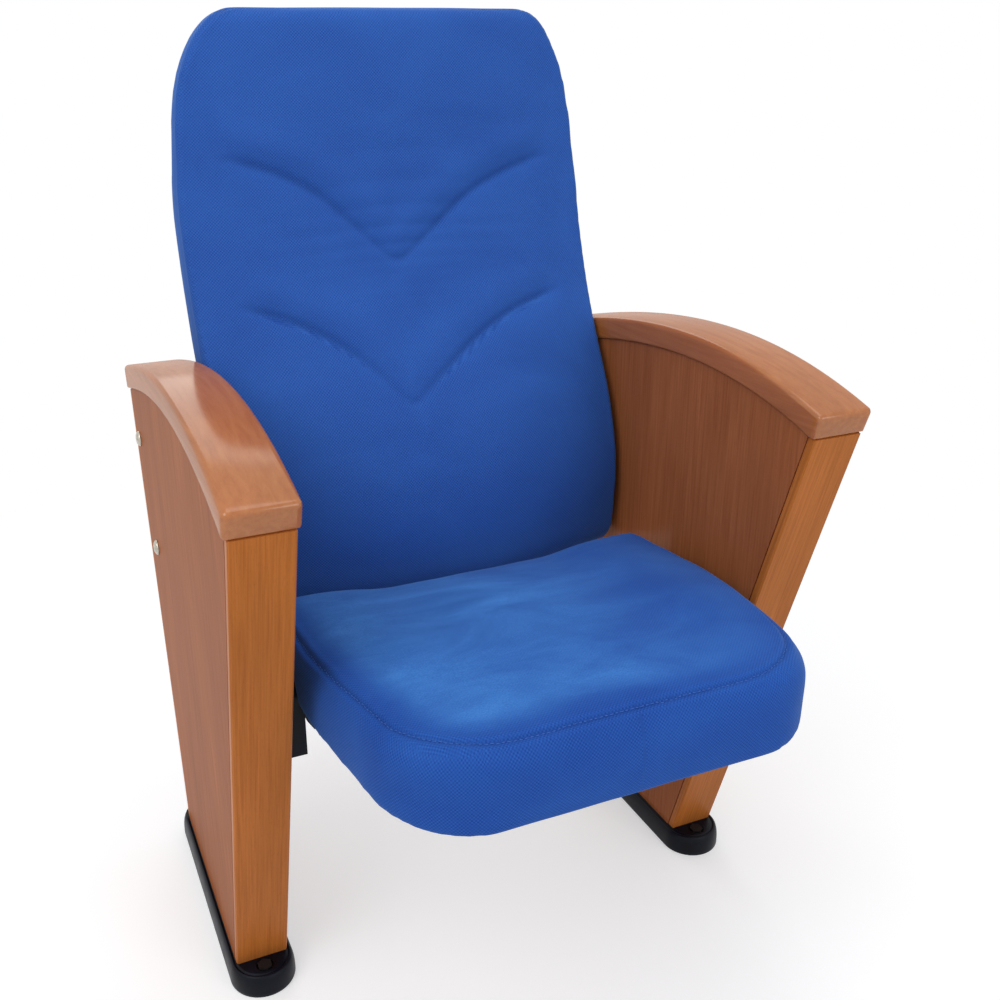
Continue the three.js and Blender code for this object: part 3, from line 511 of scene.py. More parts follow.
def puff(piece, held, cap):
    """The cover is blown up from inside, held where it is sewn or glued, and no point moves past cap."""
    mesh = piece.data
    start = per_vertex(mesh, "co")
    group = piece.vertex_groups.new(name="sewn")
    weights = held(start)
    for index in np.nonzero(weights > 0.01)[0]:
        group.add([int(index)], float(weights[index]), "REPLACE")
    modifier = piece.modifiers.new("cover", "CLOTH")
    settings = modifier.settings
    settings.use_pressure = True
    settings.uniform_pressure_force = PUFF_PRESSURE
    settings.vertex_group_mass = "sewn"
    settings.effector_weights.gravity = 0
    settings.quality = 4
    settings.tension_stiffness = 25
    settings.compression_stiffness = 25
    settings.bending_stiffness = 0.8
    graph = bpy.context.evaluated_depsgraph_get()
    for number in range(1, PUFF_FRAMES + 1):
        scene.frame_set(number)
        graph.update()
    end = per_vertex(piece.evaluated_get(graph).to_mesh(), "co")
    piece.modifiers.clear()
    piece.vertex_groups.clear()
    scene.frame_set(1)
    move = end - start
    length = np.linalg.norm(move, axis=1)
    limit = np.minimum(1, cap / np.maximum(length, 1e-9)) * (1 - np.clip(weights, 0, 1))
    set_coordinates(mesh, start + move * limit[:, None])


def ripple(points, scale, seed):
    """Slow, even unevenness of a stretched cover, from a few waves in fixed directions."""
    rng = np.random.default_rng(seed)
    total = np.zeros(len(points))
    for _ in range(RIPPLE_WAVES):
        direction = rng.normal(size=3)
        direction /= np.linalg.norm(direction)
        length = scale * rng.uniform(0.6, 1.8)
        total += np.sin(points @ direction * 2 * math.pi / length + rng.uniform(0, 6.28))
    return total / RIPPLE_WAVES


def sewn_in(near, depth, width, lip):
    """The push on the cover near a seam: pulled in along it, with a small lip beside it."""
    return lip * swell(near - 6 * MM, 3 * MM) - depth * swell(near, width)


def weave_map(mesh, half_outline, broad):
    """A flat map in metres: straight across the broad faces, and along the outline round the sides.
    half_outline holds (half width, place) pairs, and broad is the axis that the broad faces look along."""
    layer = mesh.uv_layers.new(name="weave")
    points = per_vertex(mesh, "co")
    across, up = [axis for axis in (0, 1, 2) if axis != broad]
    first, last = half_outline[0][1], half_outline[-1][1]
    half = [(width, place, 0) for width, place in half_outline]
    path = dense([(0, first, 0)] + half + [(0, last, 0)] + [(-x, y, z) for x, y, z in reversed(half)]
                 + [(0, first, 0)], 1 * MM)
    along = lengths_along(path)
    ahead = np.gradient(path, axis=0)
    ahead /= np.linalg.norm(ahead, axis=1)[:, None]
    flat = np.column_stack([points[:, across], points[:, up], np.zeros(len(points))])
    nearest, _ = nearest_on(flat, path)
    round_sides = along[nearest] + ((flat - path[nearest]) * ahead[nearest]).sum(axis=1)
    count = len(mesh.polygons)
    facing, totals = np.empty(count * 3), np.empty(count, int)
    mesh.polygons.foreach_get("normal", facing)
    mesh.polygons.foreach_get("loop_total", totals)
    side = np.repeat(np.abs(facing.reshape(-1, 3)[:, broad]) < 0.7, totals)
    corner = np.empty(len(mesh.loops), int)
    mesh.loops.foreach_get("vertex_index", corner)
    values = np.column_stack([np.where(side, round_sides[corner], points[corner, across]),
                              np.where(side, points[corner, broad], points[corner, up])])
    layer.data.foreach_set("uv", values.astype(np.float32).ravel())


def onto(piece, path):
    """The path's points moved to the nearest place on the piece."""
    tree = BVHTree.FromObject(piece, bpy.context.evaluated_depsgraph_get())
    return np.array([tree.find_nearest(Vector(p))[0] for p in path])


def stitches(name, piece, path, body):
    """A row of stitches along a path on the piece: one short capsule for each, turned along the seam."""
    path = dense(onto(piece, path), 1.0 * MM)
    curve = bpy.data.curves.new(name, "CURVE")
    curve.dimensions = "3D"
    line = curve.splines.new("POLY")
    line.points.add(len(path) - 1)
    tree = BVHTree.FromObject(piece, bpy.context.evaluated_depsgraph_get())
    for point, place in zip(line.points, path):
        _, normal, _, _ = tree.find_nearest(Vector(place))
        point.co = (*(Vector(place) + normal * STITCH_LIFT), 1)
    holder = new_object(name + "_path", curve)
    group = bpy.data.node_groups.new(name, "GeometryNodeTree")
    group.interface.new_socket("Path", in_out="INPUT", socket_type="NodeSocketGeometry")
    for size in STITCH_SIZES:
        group.interface.new_socket(size, in_out="INPUT", socket_type="NodeSocketFloat")
    group.interface.new_socket("Stitches", in_out="OUTPUT", socket_type="NodeSocketGeometry")
    start = add(group, "NodeGroupInput")
    spread = add(group, "GeometryNodeResampleCurve", {"Curve": start.outputs["Path"],
                                                      "Length": start.outputs["Pitch"]}, mode="LENGTH")
    tangent = add(group, "GeometryNodeInputTangent")
    turn = add(group, "FunctionNodeAlignEulerToVector", {"Vector": tangent}, axis="X")
    ball = add(group, "GeometryNodeMeshUVSphere", {"Segments": 8, "Rings": 6, "Radius": 0.5})
    scale = add(group, "ShaderNodeCombineXYZ", {0: start.outputs["Stitch length"],
                                                1: start.outputs["Thread width"],
                                                2: start.outputs["Thread width"]})
    copies = add(group, "GeometryNodeInstanceOnPoints", {"Points": spread, "Instance": ball,
                                                         "Rotation": turn, "Scale": scale})
    real = add(group, "GeometryNodeRealizeInstances", {0: copies})
    finish = add(group, "GeometryNodeSetMaterial", {"Geometry": real, "Material": thread})
    add(group, "NodeGroupOutput", {"Stitches": finish})
    modifier = holder.modifiers.new("stitches", "NODES")
    modifier.node_group = group
    for item in group.interface.items_tree:
        if item.name in STITCH_SIZES:
            modifier[item.identifier] = STITCH_SIZES[item.name]
    mesh = bpy.data.meshes.new_from_object(holder.evaluated_get(evaluated_graph()))
    bpy.data.objects.remove(holder)
    shade_smooth(mesh)
    finish_piece(new_object(name, mesh), thread, body, "fabric")


# Back: the side line runs up from the lumbar bulge, and the front swells between the side seams

BACK_FOOT = 119 * MM
BACK_LEAN = 156 * MM
BACK_HALF = 248.5 * MM
BACK_NARROWING = 16 * MM
BACK_CORNER_WIDTH = 70 * MM
BACK_CORNER_HEIGHT = 114 * MM
BACK_FOOT_CORNER_WIDTH = 8 * MM
BACK_FOOT_CORNER_HEIGHT = 40 * MM
BACK_EDGE = 14 * MM
BACK_FOOT_EDGE = 26 * MM
BACK_DEPTH_LOW = 70 * MM
BACK_DEPTH_HIGH = 44 * MM
BACK_CROWN_LOW = 40 * MM
BACK_CROWN_HIGH = 17 * MM
BACK_CROWN_POWER = 2.4
BACK_REAR_INSET = 3 * MM
BACK_SIDE_SWELL = 1.5 * MM
# Shares of the height: where the back starts to narrow, and where it starts to thin and over how much
NARROW_START, NARROW_SPAN = 0.6435, 0.3565
THIN_START, THIN_SPAN = 0.525, 0.342
RIGHT_CORNER_FILL = 0.2
# Shares of the height and of the lean, from the foot up
BACK_LINE_SHARES = [(0, 0.1), (0.165, 0.05), (0.305, 0.205), (0.4468, 0.506), (0.5884, 0.744),
                    (0.73, 0.875), (1, 1)]
back_height = back_high.z - back_low.z


back_line = spline([(back_low.z + up * back_height, BACK_FOOT + lean * BACK_LEAN)
                    for up, lean in BACK_LINE_SHARES])


def back_edge_y(z):
    return np.interp(z, back_line[:, 0], back_line[:, 1])


def back_share(z):
    return (z - back_low.z) / back_height


def back_rear_y(z):
    depth = mix(BACK_DEPTH_LOW, BACK_DEPTH_HIGH, smooth_step((back_share(z) - THIN_START) / THIN_SPAN))
    return back_edge_y(z) + depth


def back_corner(z):
    return round_off(BACK_CORNER_HEIGHT, back_high.z - z) * BACK_CORNER_WIDTH / BACK_CORNER_HEIGHT


def back_pinch(z):
    """How far the front stands back where it rounds into the top and the foot."""
    return round_off(BACK_EDGE, back_high.z - z) + round_off(BACK_FOOT_EDGE, z - back_low.z)


def back_half_width(z):
    plain = BACK_HALF - BACK_NARROWING * smooth_step((back_share(z) - NARROW_START) / NARROW_SPAN)
    foot = round_off(BACK_FOOT_CORNER_HEIGHT, z - back_low.z)
    return plain - back_corner(z) - foot * BACK_FOOT_CORNER_WIDTH / BACK_FOOT_CORNER_HEIGHT


def back_right_corner(x, z):
    """The right top corner is stuffed a little fuller than the left one."""
    fill = RIGHT_CORNER_FILL * back_corner(z)
    return x + fill * smooth_step(x / (back_half_width(z) - fill))


def back_front_y(x, z):
    crown = mix(BACK_CROWN_LOW, BACK_CROWN_HIGH, smooth_step(back_share(z)))
    across = np.minimum(1, np.abs(x) / np.maximum(1e-6, back_half_width(z)))
    return back_edge_y(z) - crown * (1 - across ** BACK_CROWN_POWER) + back_pinch(z)


CHANNEL_HALF = 190 * MM
CHANNEL_FADE = 50 * MM
# Depth and width of the pulled-in line and of the dip that it lies in
CHANNEL_LINE = (3.4 * MM, 4.8 * MM)
CHANNEL_DIP = (2.8 * MM, 15 * MM)
# Height, distance from the line and width of the fuller padding beside it
CHANNEL_SHOULDER = (2 * MM, 26 * MM, 17 * MM)
# How dark the painted shade drawn along each sewn channel line is
CHANNEL_PAINTED_SHADE = 0.32
# The sewn lines as x and z in millimetres
CHANNELS = (
    ((-188, 859), (-139, 843), (-94, 818), (-54, 781), (-22, 750), (-11, 745), (1, 749), (44, 780),
     (90, 812), (140, 834), (188, 848)),
    ((-196, 703), (-150, 689), (-103, 665), (-63, 633), (-34, 601), (-21, 594), (-7, 602), (16, 618),
     (76, 655), (130, 678), (194, 693)))


def channel_offset(x, z, points):
    """How far a place on the front is from the sewn line, square to it, and how far from its lowest place."""
    line = spline(points) * MM
    steepness = np.gradient(line[:, 1], line[:, 0])
    slope = np.interp(x, line[:, 0], steepness)
    lowest = line[line[:, 1].argmin(), 0]
    return (z - np.interp(x, line[:, 0], line[:, 1])) / np.sqrt(1 + slope ** 2), np.abs(x - lowest)


def back_body(shrink):
    """A closed grid of the back's outer form, pulled in by shrink."""
    rings = []
    for z in crowded(back_low.z + shrink, back_high.z - shrink, 90, 0.35):
        width = back_half_width(z) - shrink
        rear = back_rear_y(z) - back_pinch(z) / 2 - shrink
        xs = np.linspace(-width, width, 70)
        front = back_front_y(xs, z) + shrink
        ring = [(x, y, z) for x, y in zip(xs, front)]
        edge = front[-1]
        for share in (0.25, 0.5, 0.75):
            ring.append((width + BACK_SIDE_SWELL * math.sin(math.pi * share), mix(edge, rear, share), z))
        ring += [(x, rear, z) for x in np.linspace(width - BACK_REAR_INSET, -width + BACK_REAR_INSET, 24)]
        for share in (0.75, 0.5, 0.25):
            ring.append((-width - BACK_SIDE_SWELL * math.sin(math.pi * share), mix(edge, rear, share), z))
        rings.append([(back_right_corner(x, z), y, up) for x, y, up in ring])
    return loft(rings)


def back_seams():
    """The seam between the front cover and the side strip, and the one at the rear."""
    front, rear = [], []
    for z in np.linspace(back_low.z + 4 * MM, back_high.z - 0.5 * MM, 160):
        width = back_half_width(z)
        front.append((width, float(back_front_y(width, z)), z))
        rear.append((width - BACK_REAR_INSET, float(back_rear_y(z)), z))
    front += [(-x, y, z) for x, y, z in reversed(front)]
    rear += [(-x, y, z) for x, y, z in reversed(rear)]
    return [dense([(back_right_corner(x, z), y, z) for x, y, z in path]) for path in (front, rear)]


def back_cushion():
    """The upholstered back: the plain form blown up, then pulled in at the seams and the channels."""
    piece = face_outwards(mesh_object("back_upholstery", *back_body(COVER_SHRINK)))
    remesh(piece, 6 * MM)
    front_seam, rear_seam = back_seams()
    def held(points):
        near = np.minimum(distance_to(points, front_seam), distance_to(points, rear_seam))
        sewn = smooth_step(1 - (near - 4 * MM) / (10 * MM))
        behind = smooth_step((points[:, 1] - back_rear_y(points[:, 2]) + 12 * MM) / (6 * MM))
        low = smooth_step((back_low.z + 60 * MM - points[:, 2]) / (25 * MM))
        return np.maximum.reduce([sewn, behind, low])
    puff(piece, held, 5 * MM)
    subdivide(piece)
    mesh = piece.data
    points, out = per_vertex(mesh, "co"), per_vertex(mesh, "normal")
    push = ripple(points, 90 * MM, 3) * 0.8 * MM
    ahead = smooth_step((-out[:, 1] - 0.3) / 0.3)
    fade = smooth_step((CHANNEL_HALF + 22 * MM - np.abs(points[:, 0])) / CHANNEL_FADE)
    near = distance_to(points, front_seam)
    # Painted shade: the cloth is drawn darker along the front seam, and below along each channel line
    painted_crease_shade = swell(near, 2.4 * MM)
    for line in CHANNELS:
        off, away = channel_offset(points[:, 0], points[:, 2], line)
        groove = sum(depth * swell(off, width) for depth, width in (CHANNEL_LINE, CHANNEL_DIP))
        height, beside, width = CHANNEL_SHOULDER
        shoulder = height * swell(off - beside, width)
        meeting = 0.5 + 0.5 * smooth_step((away - 15 * MM) / (80 * MM))
        push -= (groove * meeting - shoulder) * fade * ahead
        # Painted shade along the channel's sewn line, fading out at its ends
        painted_crease_shade += CHANNEL_PAINTED_SHADE * swell(off, 3.5 * MM) * fade * ahead * smooth_step(meeting)
    push += sewn_in(near, 2.2 * MM, 2.6 * MM, 0.9 * MM)
    push -= 1.8 * MM * swell(distance_to(points, rear_seam), 3 * MM)
    set_coordinates(mesh, points + out * push[:, None])
    shade_smooth(mesh)
    outline = [(float(back_half_width(z)), z) for z in np.linspace(back_low.z, back_high.z, 200)]
    weave_map(mesh, outline, 1)
    set_attribute(mesh, "nap_and_painted_light", np.full(len(points), 0.25))
    set_attribute(mesh, "painted_crease_shade", np.minimum(1, painted_crease_shade))
    finish_piece(piece, back_cloth, "frame", "fabric", "back_cushion")


# Seat: one plump form, higher at the front, fuller beside the sitter at the rear

SEAT_FRONT_HEIGHT = 448.5 * MM
SEAT_REAR_HEIGHT = 413.5 * MM
SEAT_HALF = 237.5 * MM
SEAT_TAPER = 23.5 * MM
SEAT_TAPER_START = -73 * MM
SEAT_CORNER = 84 * MM
SEAT_REAR_CORNER = 24 * MM
SEAT_BOW = 2 * MM
SEAT_REAR_BOW = 9 * MM
SEAT_SIDE_RISE = 9 * MM
SEAT_SIDE_FILL = 13 * MM
SEAT_REAR = 53 * MM
SEAT_TOP_EDGE = 30 * MM
SEAT_REAR_EDGE = 18 * MM
SEAT_FOOT_EDGE = 5 * MM
SEAT_CROWN = 15 * MM
SEAT_FLAT_HALF = 85 * MM
SEAT_BEND_POWER = 2.4
SEAM_INSET = 16 * MM
RECESS = housing_top - pivot_z + 4 * MM
seat_front, seat_rear, seat_foot = seat_low.y, SEAT_REAR, seat_low.z


def seat_half_width(y):
    taper = SEAT_TAPER * smooth_step((SEAT_TAPER_START - y) / (SEAT_TAPER_START - seat_front))
    corners = round_off(SEAT_CORNER, y - seat_front) + round_off(SEAT_REAR_CORNER, seat_rear - y)
    return SEAT_HALF - taper - corners


def seat_share(y):
    return (y - seat_front) / (seat_rear - seat_front)


def seat_rear_share(y):
    """0 over the front half of the seat, rising to 1 at its rear."""
    return smooth_step(seat_share(y) * 2 - 1)


def seat_top(y):
    plain = mix(SEAT_FRONT_HEIGHT, SEAT_REAR_HEIGHT, seat_share(y))
    return plain - round_off(SEAT_TOP_EDGE, y - seat_front) - round_off(SEAT_REAR_EDGE, seat_rear - y)


def seat_bow(x, y):
    front = SEAT_BOW * (x / SEAT_HALF) ** 2 * smooth_step(1 - seat_share(y) * 2)
    return front + SEAT_REAR_BOW * abs(x / SEAT_HALF) ** SEAT_BEND_POWER * seat_rear_share(y)


def side_rise(x, z, foot, top, rise):
    """The rear of the seat is a little higher beside the sitter; the underside stays flat."""
    upper = smooth_step((z - foot) / (top - foot))
    return rise * upper * smooth_step((abs(x) - SEAT_FLAT_HALF) / SEAT_FLAT_HALF)


def seat_body(shrink):
    """A closed grid of the seat's outer form, pulled in by shrink."""
    rings = []
    for y in crowded(seat_front + shrink, seat_rear - shrink, 80, 0.5):
        width = seat_half_width(y) - shrink
        top = seat_top(y) - shrink
        edge = min(y - seat_front, seat_rear - y)
        foot = seat_foot + round_off(SEAT_FOOT_EDGE, edge) + shrink * 0.3
        radius = min(SEAT_TOP_EDGE, (top - foot) * 0.45)
        hump = math.sin(math.pi * seat_share(y))
        crown = SEAT_CROWN * max(hump ** 0.7, 0.1 * seat_rear_share(y))
        rise = SEAT_SIDE_RISE * seat_rear_share(y) + SEAT_SIDE_FILL * hump ** 2
        side = [(SEAT_FOOT_EDGE, foot), (3 * MM, foot + 3 * MM), (0, foot + SEAT_FOOT_EDGE)]
        side += [(0, mix(foot + SEAT_FOOT_EDGE, top - radius, share)) for share in (0.25, 0.5, 0.75)]
        side += [(radius * (1 - math.cos(a)), top - radius * (1 - math.sin(a)))
                 for a in np.linspace(0, math.pi / 2, 7)]
        ring = [(x, foot) for x in np.linspace(-width + SEAT_FOOT_EDGE, width - SEAT_FOOT_EDGE, 30)[1:-1]]
        ring += [(width - inset, z) for inset, z in side]
        inner = width - side[-1][0]
        ring += [(inner * s, top + crown * (1 - s * s)) for s in np.linspace(1, -1, 50)[1:-1]]
        ring += [(-width + inset, z) for inset, z in reversed(side)]
        rings.append([(x, y + seat_bow(x, y), z + side_rise(x, z, foot, top, rise)) for x, z in ring])
    return loft(rings)


def seat_seam():
    """The seam runs round the front and sides of the top, a little in from the edge."""
    path = []
    for y in np.linspace(seat_rear - 20 * MM, seat_front + SEAM_INSET, 160):
        inset_y = y - SEAM_INSET * smooth_step((seat_front + SEAT_CORNER + 40 * MM - y) / (100 * MM))
        width = seat_half_width(max(seat_front, inset_y))
        path.append((width - SEAM_INSET, y + seat_bow(width, y), seat_top(y + 1 * MM)))
    front = path[-1]
    path += [(front[0] * s, seat_front + SEAM_INSET + seat_bow(front[0] * s, front[1]), front[2])
             for s in np.linspace(1, 0, 30)[1:]]
    path += [(-x, y, z) for x, y, z in reversed(path[:-1])]
    return dense(path)


def seat_cushion():
    """The upholstered seat, with a recess round each hinge housing, and its seam."""
    piece = face_outwards(mesh_object("seat_upholstery", *seat_body(COVER_SHRINK)))
    for side, sign in SIDES:
        near, far = sorted((sign * (seat_arm_inner - 6 * MM), sign * (SEAT_HALF + 40 * MM)))
        recess = loft([[(x, y, z) for y, z in circle(RECESS, 64, (pivot_y, pivot_z))] for x in (near, far)])
        subtract(piece, face_outwards(mesh_object("recess", *recess)))
    remesh(piece, 5.5 * MM)
    seam = seat_seam()
    def held(points):
        sewn = smooth_step(1 - (distance_to(points, seam) - 3 * MM) / (10 * MM))
        below = smooth_step((seat_foot + 8 * MM - points[:, 2]) / (5 * MM))
        away = np.hypot(points[:, 1] - pivot_y, points[:, 2] - pivot_z)
        side = smooth_step((np.abs(points[:, 0]) - seat_arm_inner + 14 * MM) / (6 * MM))
        hole = side * smooth_step((RECESS + 8 * MM - away) / (5 * MM))
        behind = smooth_step((points[:, 1] - seat_rear + 12 * MM) / (8 * MM))
        return np.maximum.reduce([sewn, below, hole, behind])
    puff(piece, held, 5 * MM)
    subdivide(piece)
    mesh = piece.data
    seam = dense(onto(piece, seam))
    points, out = per_vertex(mesh, "co"), per_vertex(mesh, "normal")
    push = ripple(points, 80 * MM, 11) * 0.9 * MM
    near = distance_to(points, seam)
    push += sewn_in(near, 2 * MM, 2.4 * MM, 1 * MM)
    set_coordinates(mesh, points + out * push[:, None])
    shade_smooth(mesh)
    outline = [(float(seat_half_width(y)), y) for y in np.linspace(seat_front, seat_rear, 200)]
    weave_map(mesh, outline, 2)
    inside = smooth_step((distance_to(points, seam) - 8 * MM) / (34 * MM))
    # Painted light: the pale brushed patches fade out towards the right, so the seat's left half is drawn
    # brighter, as if lit from the left. The rest of this mask is brushed nap, on the upward faces inside the
    # seam.
    painted_light_from_left = 1 - 0.8 * smooth_step((points[:, 0] + 30 * MM) / (180 * MM))
    set_attribute(mesh, "nap_and_painted_light", 0.12 + 0.88 * inside * painted_light_from_left * smooth_step((out[:, 2] - 0.5) / 0.3))
    # Painted shade: the cloth is drawn darker along the seam, a little lighter than on the back
    set_attribute(mesh, "painted_crease_shade", 0.4 * swell(near, 2.2 * MM))
    finish_piece(piece, seat_cloth, "seat", "fabric", "seat_cushion")
    return piece, seam


back_cushion()
stitches("seat_seam_stitches", *seat_cushion(), "seat")


# Back shell, smooth and with eased edges

SHELL_INSET = 14 * MM
SHELL_STAND_OFF = 0.8 * MM
SHELL_THICKNESS = 10 * MM
SHELL_EDGE = 2 * MM


def back_shell():
    rings = []
    low, height = back_low.z + SHELL_INSET, back_high.z - back_low.z - 2 * SHELL_INSET
    edge = np.linspace(0, SHELL_EDGE, 5)
    between = np.linspace(SHELL_EDGE, height - SHELL_EDGE, 90)[1:-1]
    for up in np.concatenate([edge, between, edge + height - SHELL_EDGE]):
        z = low + up
        pinch = round_off(SHELL_EDGE, up) + round_off(SHELL_EDGE, height - up)
        width = back_half_width(z) - SHELL_INSET - pinch
        near = back_rear_y(z) + SHELL_STAND_OFF + pinch
        far = back_rear_y(z) + SHELL_STAND_OFF + SHELL_THICKNESS - pinch
        radius = SHELL_EDGE * 0.99 - pinch * 0.9
        ring = []
        for x_side, y_side, start in ((1, near, -90), (1, far, 0), (-1, far, 90), (-1, near, 180)):
            centre_y = y_side + radius if y_side == near else y_side - radius
            for angle in np.radians(np.linspace(start, start + 90, 4)):
                ring.append((x_side * (width - radius) + radius * math.cos(angle),
                             centre_y + radius * math.sin(angle), z))
            if x_side == 1 and y_side == far:
                ring += [(x, far, z) for x in np.linspace(width - radius, -width + radius, 14)[1:-1]]
        rings.append(ring)
    piece = face_outwards(mesh_object("moulded_back_shell", *loft(rings)))
    points = per_vertex(piece.data, "co")
    depth = points[:, 1] - back_rear_y(points[:, 2]) - SHELL_STAND_OFF
    set_attribute(piece.data, "ply", np.clip(depth, 0.01 * MM, SHELL_THICKNESS) / MM)
    finish_piece(piece, plywood, "frame", "plywood", "back_shell")


back_shell()


# Armrests: an arched board with rounded edges and ends

ARM_THICKNESS = 27.5 * MM
ARM_TOP_EDGE = 5.5 * MM
ARM_FOOT_EDGE = 3 * MM
ARM_REAR_HEIGHT = 622.4 * MM
ARM_FRONT_HEIGHT = 638.8 * MM
ARM_REAR_RISE = 46.3 * MM
ARM_FRONT_RISE = 62 * MM
ARM_SMALLEST_EDGE = 0.4 * MM


def corner_ring(half_across, top, foot, top_radius, foot_radius, steps=5):
    """Points (across, down) round a rectangle whose four corners are rounded."""
    ring = []
    for x_sign, y, radius, start in ((1, top, top_radius, 0), (-1, top, top_radius, 90),
                                     (-1, foot, foot_radius, 180), (1, foot, foot_radius, 270)):
        centre_y = y + radius if y == top else y - radius
        for angle in np.radians(np.linspace(start, start + 90, steps)):
            ring.append((x_sign * (half_across - radius) + radius * math.cos(angle),
                         centre_y - radius * math.sin(angle)))
    return ring


def armrest(side, sign):
    """An arched board: its section follows a cubic curve along the top, and the ends are rounded over."""
    rear, front = arm_high.y, arm_low.y
    controls = np.array([
        (rear, ARM_REAR_HEIGHT), (mix(rear, front, 1 / 3), ARM_REAR_HEIGHT + ARM_REAR_RISE),
        (mix(front, rear, 1 / 3), ARM_FRONT_HEIGHT + ARM_FRONT_RISE), (front, ARM_FRONT_HEIGHT)])
    fine = np.linspace(0, 1, 400)[:, None]
    top = ((1 - fine) ** 3 * controls[0] + 3 * (1 - fine) ** 2 * fine * controls[1]
           + 3 * (1 - fine) * fine ** 2 * controls[2] + fine ** 3 * controls[3])
    slope = np.gradient(top, axis=0)
    slope /= np.linalg.norm(slope, axis=1)[:, None]
    along = lengths_along(top)
    total = along[-1]
    ends = ARM_TOP_EDGE * (1 - np.cos(np.linspace(0, math.pi / 2, 6)))
    between = np.linspace(ARM_TOP_EDGE, total - ARM_TOP_EDGE, 110)[1:-1]
    half = (arm_high.x - arm_low.x) / 2
    centre_x = sign * (arm_low.x + arm_high.x) / 2
    rings = []
    for place in np.concatenate([ends, between, total - ends[::-1]]):
        point = np.array([np.interp(place, along, top[:, k]) for k in (0, 1)])
        tangent = np.array([np.interp(place, along, slope[:, k]) for k in (0, 1)])
        down = np.array([-tangent[1], tangent[0]])
        pinch = round_off(ARM_TOP_EDGE, min(place, total - place))
        ring = corner_ring(half - pinch, pinch, ARM_THICKNESS - pinch / 2,
                           max(ARM_SMALLEST_EDGE, ARM_TOP_EDGE - pinch),
                           max(ARM_SMALLEST_EDGE, ARM_FOOT_EDGE - pinch))
        rings.append([(centre_x + across, *(point + down * deep)) for across, deep in ring])
    piece = face_outwards(mesh_object(f"arched_armrest_{side}", *loft(rings)))
    finish_piece(piece, arm_wood, "frame", "lacquered_wood", f"armrest_{side}")


# Shoes: a moulded foot with a rolled rim and a counterbore at each floor bolt

# Inset from the outline and height, in millimetres: the side, the rim and the gutter inside it
SHOE_PROFILE = ((1.6, 0), (0.5, 0.5), (0, 1.8), (0, 5), (0.1, 10), (0.5, 15), (1.1, 19), (1.9, 22),
                (2.8, 24.3), (3.8, 25.6), (4.8, 26), (5.7, 25.7), (6.4, 24.9), (7.2, 24.6), (8.0, 24.9),
                (8.8, 25.7), (9.8, 26))
BOLT_BORE = 9.4 * MM
BOLT_BORE_DEPTH = 5 * MM
SHOE_SHARP_ANGLE = 40


def shoe(side, sign):
    middle = sign * panel_middle
    end = (shoe_high.x - shoe_low.x) / 2
    rings = []
    for inset, up in SHOE_PROFILE:
        radius = end - inset * MM
        ring = []
        for centre, start in ((shoe_high.y - end, 0), (shoe_low.y + end, math.pi)):
            ring += [(middle + radius * math.cos(a), centre + radius * math.sin(a), up * MM)
                     for a in np.linspace(start, start + math.pi, 33)]
        rings.append(ring)
    piece = face_outwards(mesh_object(f"moulded_shoe_{side}", *loft(rings)))
    for place in ("front", "rear"):
        low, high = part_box(f"floor_bolt_{place}_{side}")
        centre = (low.x + high.x) / 2, (low.y + high.y) / 2
        bore = loft([[(x, y, z) for x, y in circle(BOLT_BORE, 40, centre)]
                     for z in (shoe_high.z - BOLT_BORE_DEPTH, shoe_high.z + 10 * MM)])
        subtract(piece, face_outwards(mesh_object("bore", *bore)))
    shade_smooth(piece.data)
    piece.data.set_sharp_from_angle(angle=math.radians(SHOE_SHARP_ANGLE))
    finish_piece(piece, plastic, "frame", "black_plastic", f"shoe_{side}")


# Domed bolts through the side panels, each with a plain nut inside

# Radius and distance outwards, in millimetres: the dome from the panel's face, the shank's end and the
# nut, whose corners are cut to six flats, from the inner end
DOME_PROFILE = ((9, 0), (9, 1), (8.7, 1.6), (7.9, 2.5), (6.4, 3.5), (4.4, 4.2), (2.2, 4.45), (0.01, 4.5))
SHANK_PROFILE = ((0.01, 0), (3.6, 0), (4, 0.4))
NUT_PROFILE = ((5.5, 0.5), (7.5, 1.2), (7.5, 5.6), (6.6, 6.2))
NUT_FLAT = 7.5
NUT_END = 6.2
SHANK_RADIUS = 4
DOME_STAND_OFF = 0.3
BOLT_FACETS = 48
BOLT_SHARP_ANGLE = 50


def domed_bolt(place, side, sign):
    node = f"bracket_bolt_{place}_{side}"
    low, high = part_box(node)
    centre_y, centre_z = (low.y + high.y) / 2, (low.z + high.z) / 2
    face = sign * panel_outer
    inner = low.x if sign > 0 else high.x
    turns = np.linspace(0, 2 * math.pi, BOLT_FACETS, endpoint=False)
    flats = NUT_FLAT * math.cos(math.pi / 6) / np.cos(turns % (math.pi / 3) - math.pi / 6)
    steps = [(inner, up, radius) for radius, up in SHANK_PROFILE]
    steps += [(inner, up, np.minimum(radius, flats)) for radius, up in NUT_PROFILE]
    steps += [(inner, NUT_END, SHANK_RADIUS), (face, 0, SHANK_RADIUS)]
    steps += [(face, DOME_STAND_OFF + up, radius) for radius, up in DOME_PROFILE]
    rings = []
    for start, up, radius in steps:
        radii = np.broadcast_to(radius, BOLT_FACETS) * MM
        rings.append([(start + sign * up * MM, centre_y + r * math.cos(a), centre_z + r * math.sin(a))
                      for a, r in zip(turns, radii)])
    piece = face_outwards(mesh_object(f"domed_bolt_{place}_{side}", *loft(rings)))
    piece.data.set_sharp_from_angle(angle=math.radians(BOLT_SHARP_ANGLE))
    finish_piece(piece, zinc, "frame", "bright_steel", node)


for side, sign in SIDES:
    armrest(side, sign)
for side, sign in SIDES:
    shoe(side, sign)
for side, sign in SIDES:
    for place in ("upper", "lower"):
        domed_bolt(place, side, sign)


# Floor, world and lights

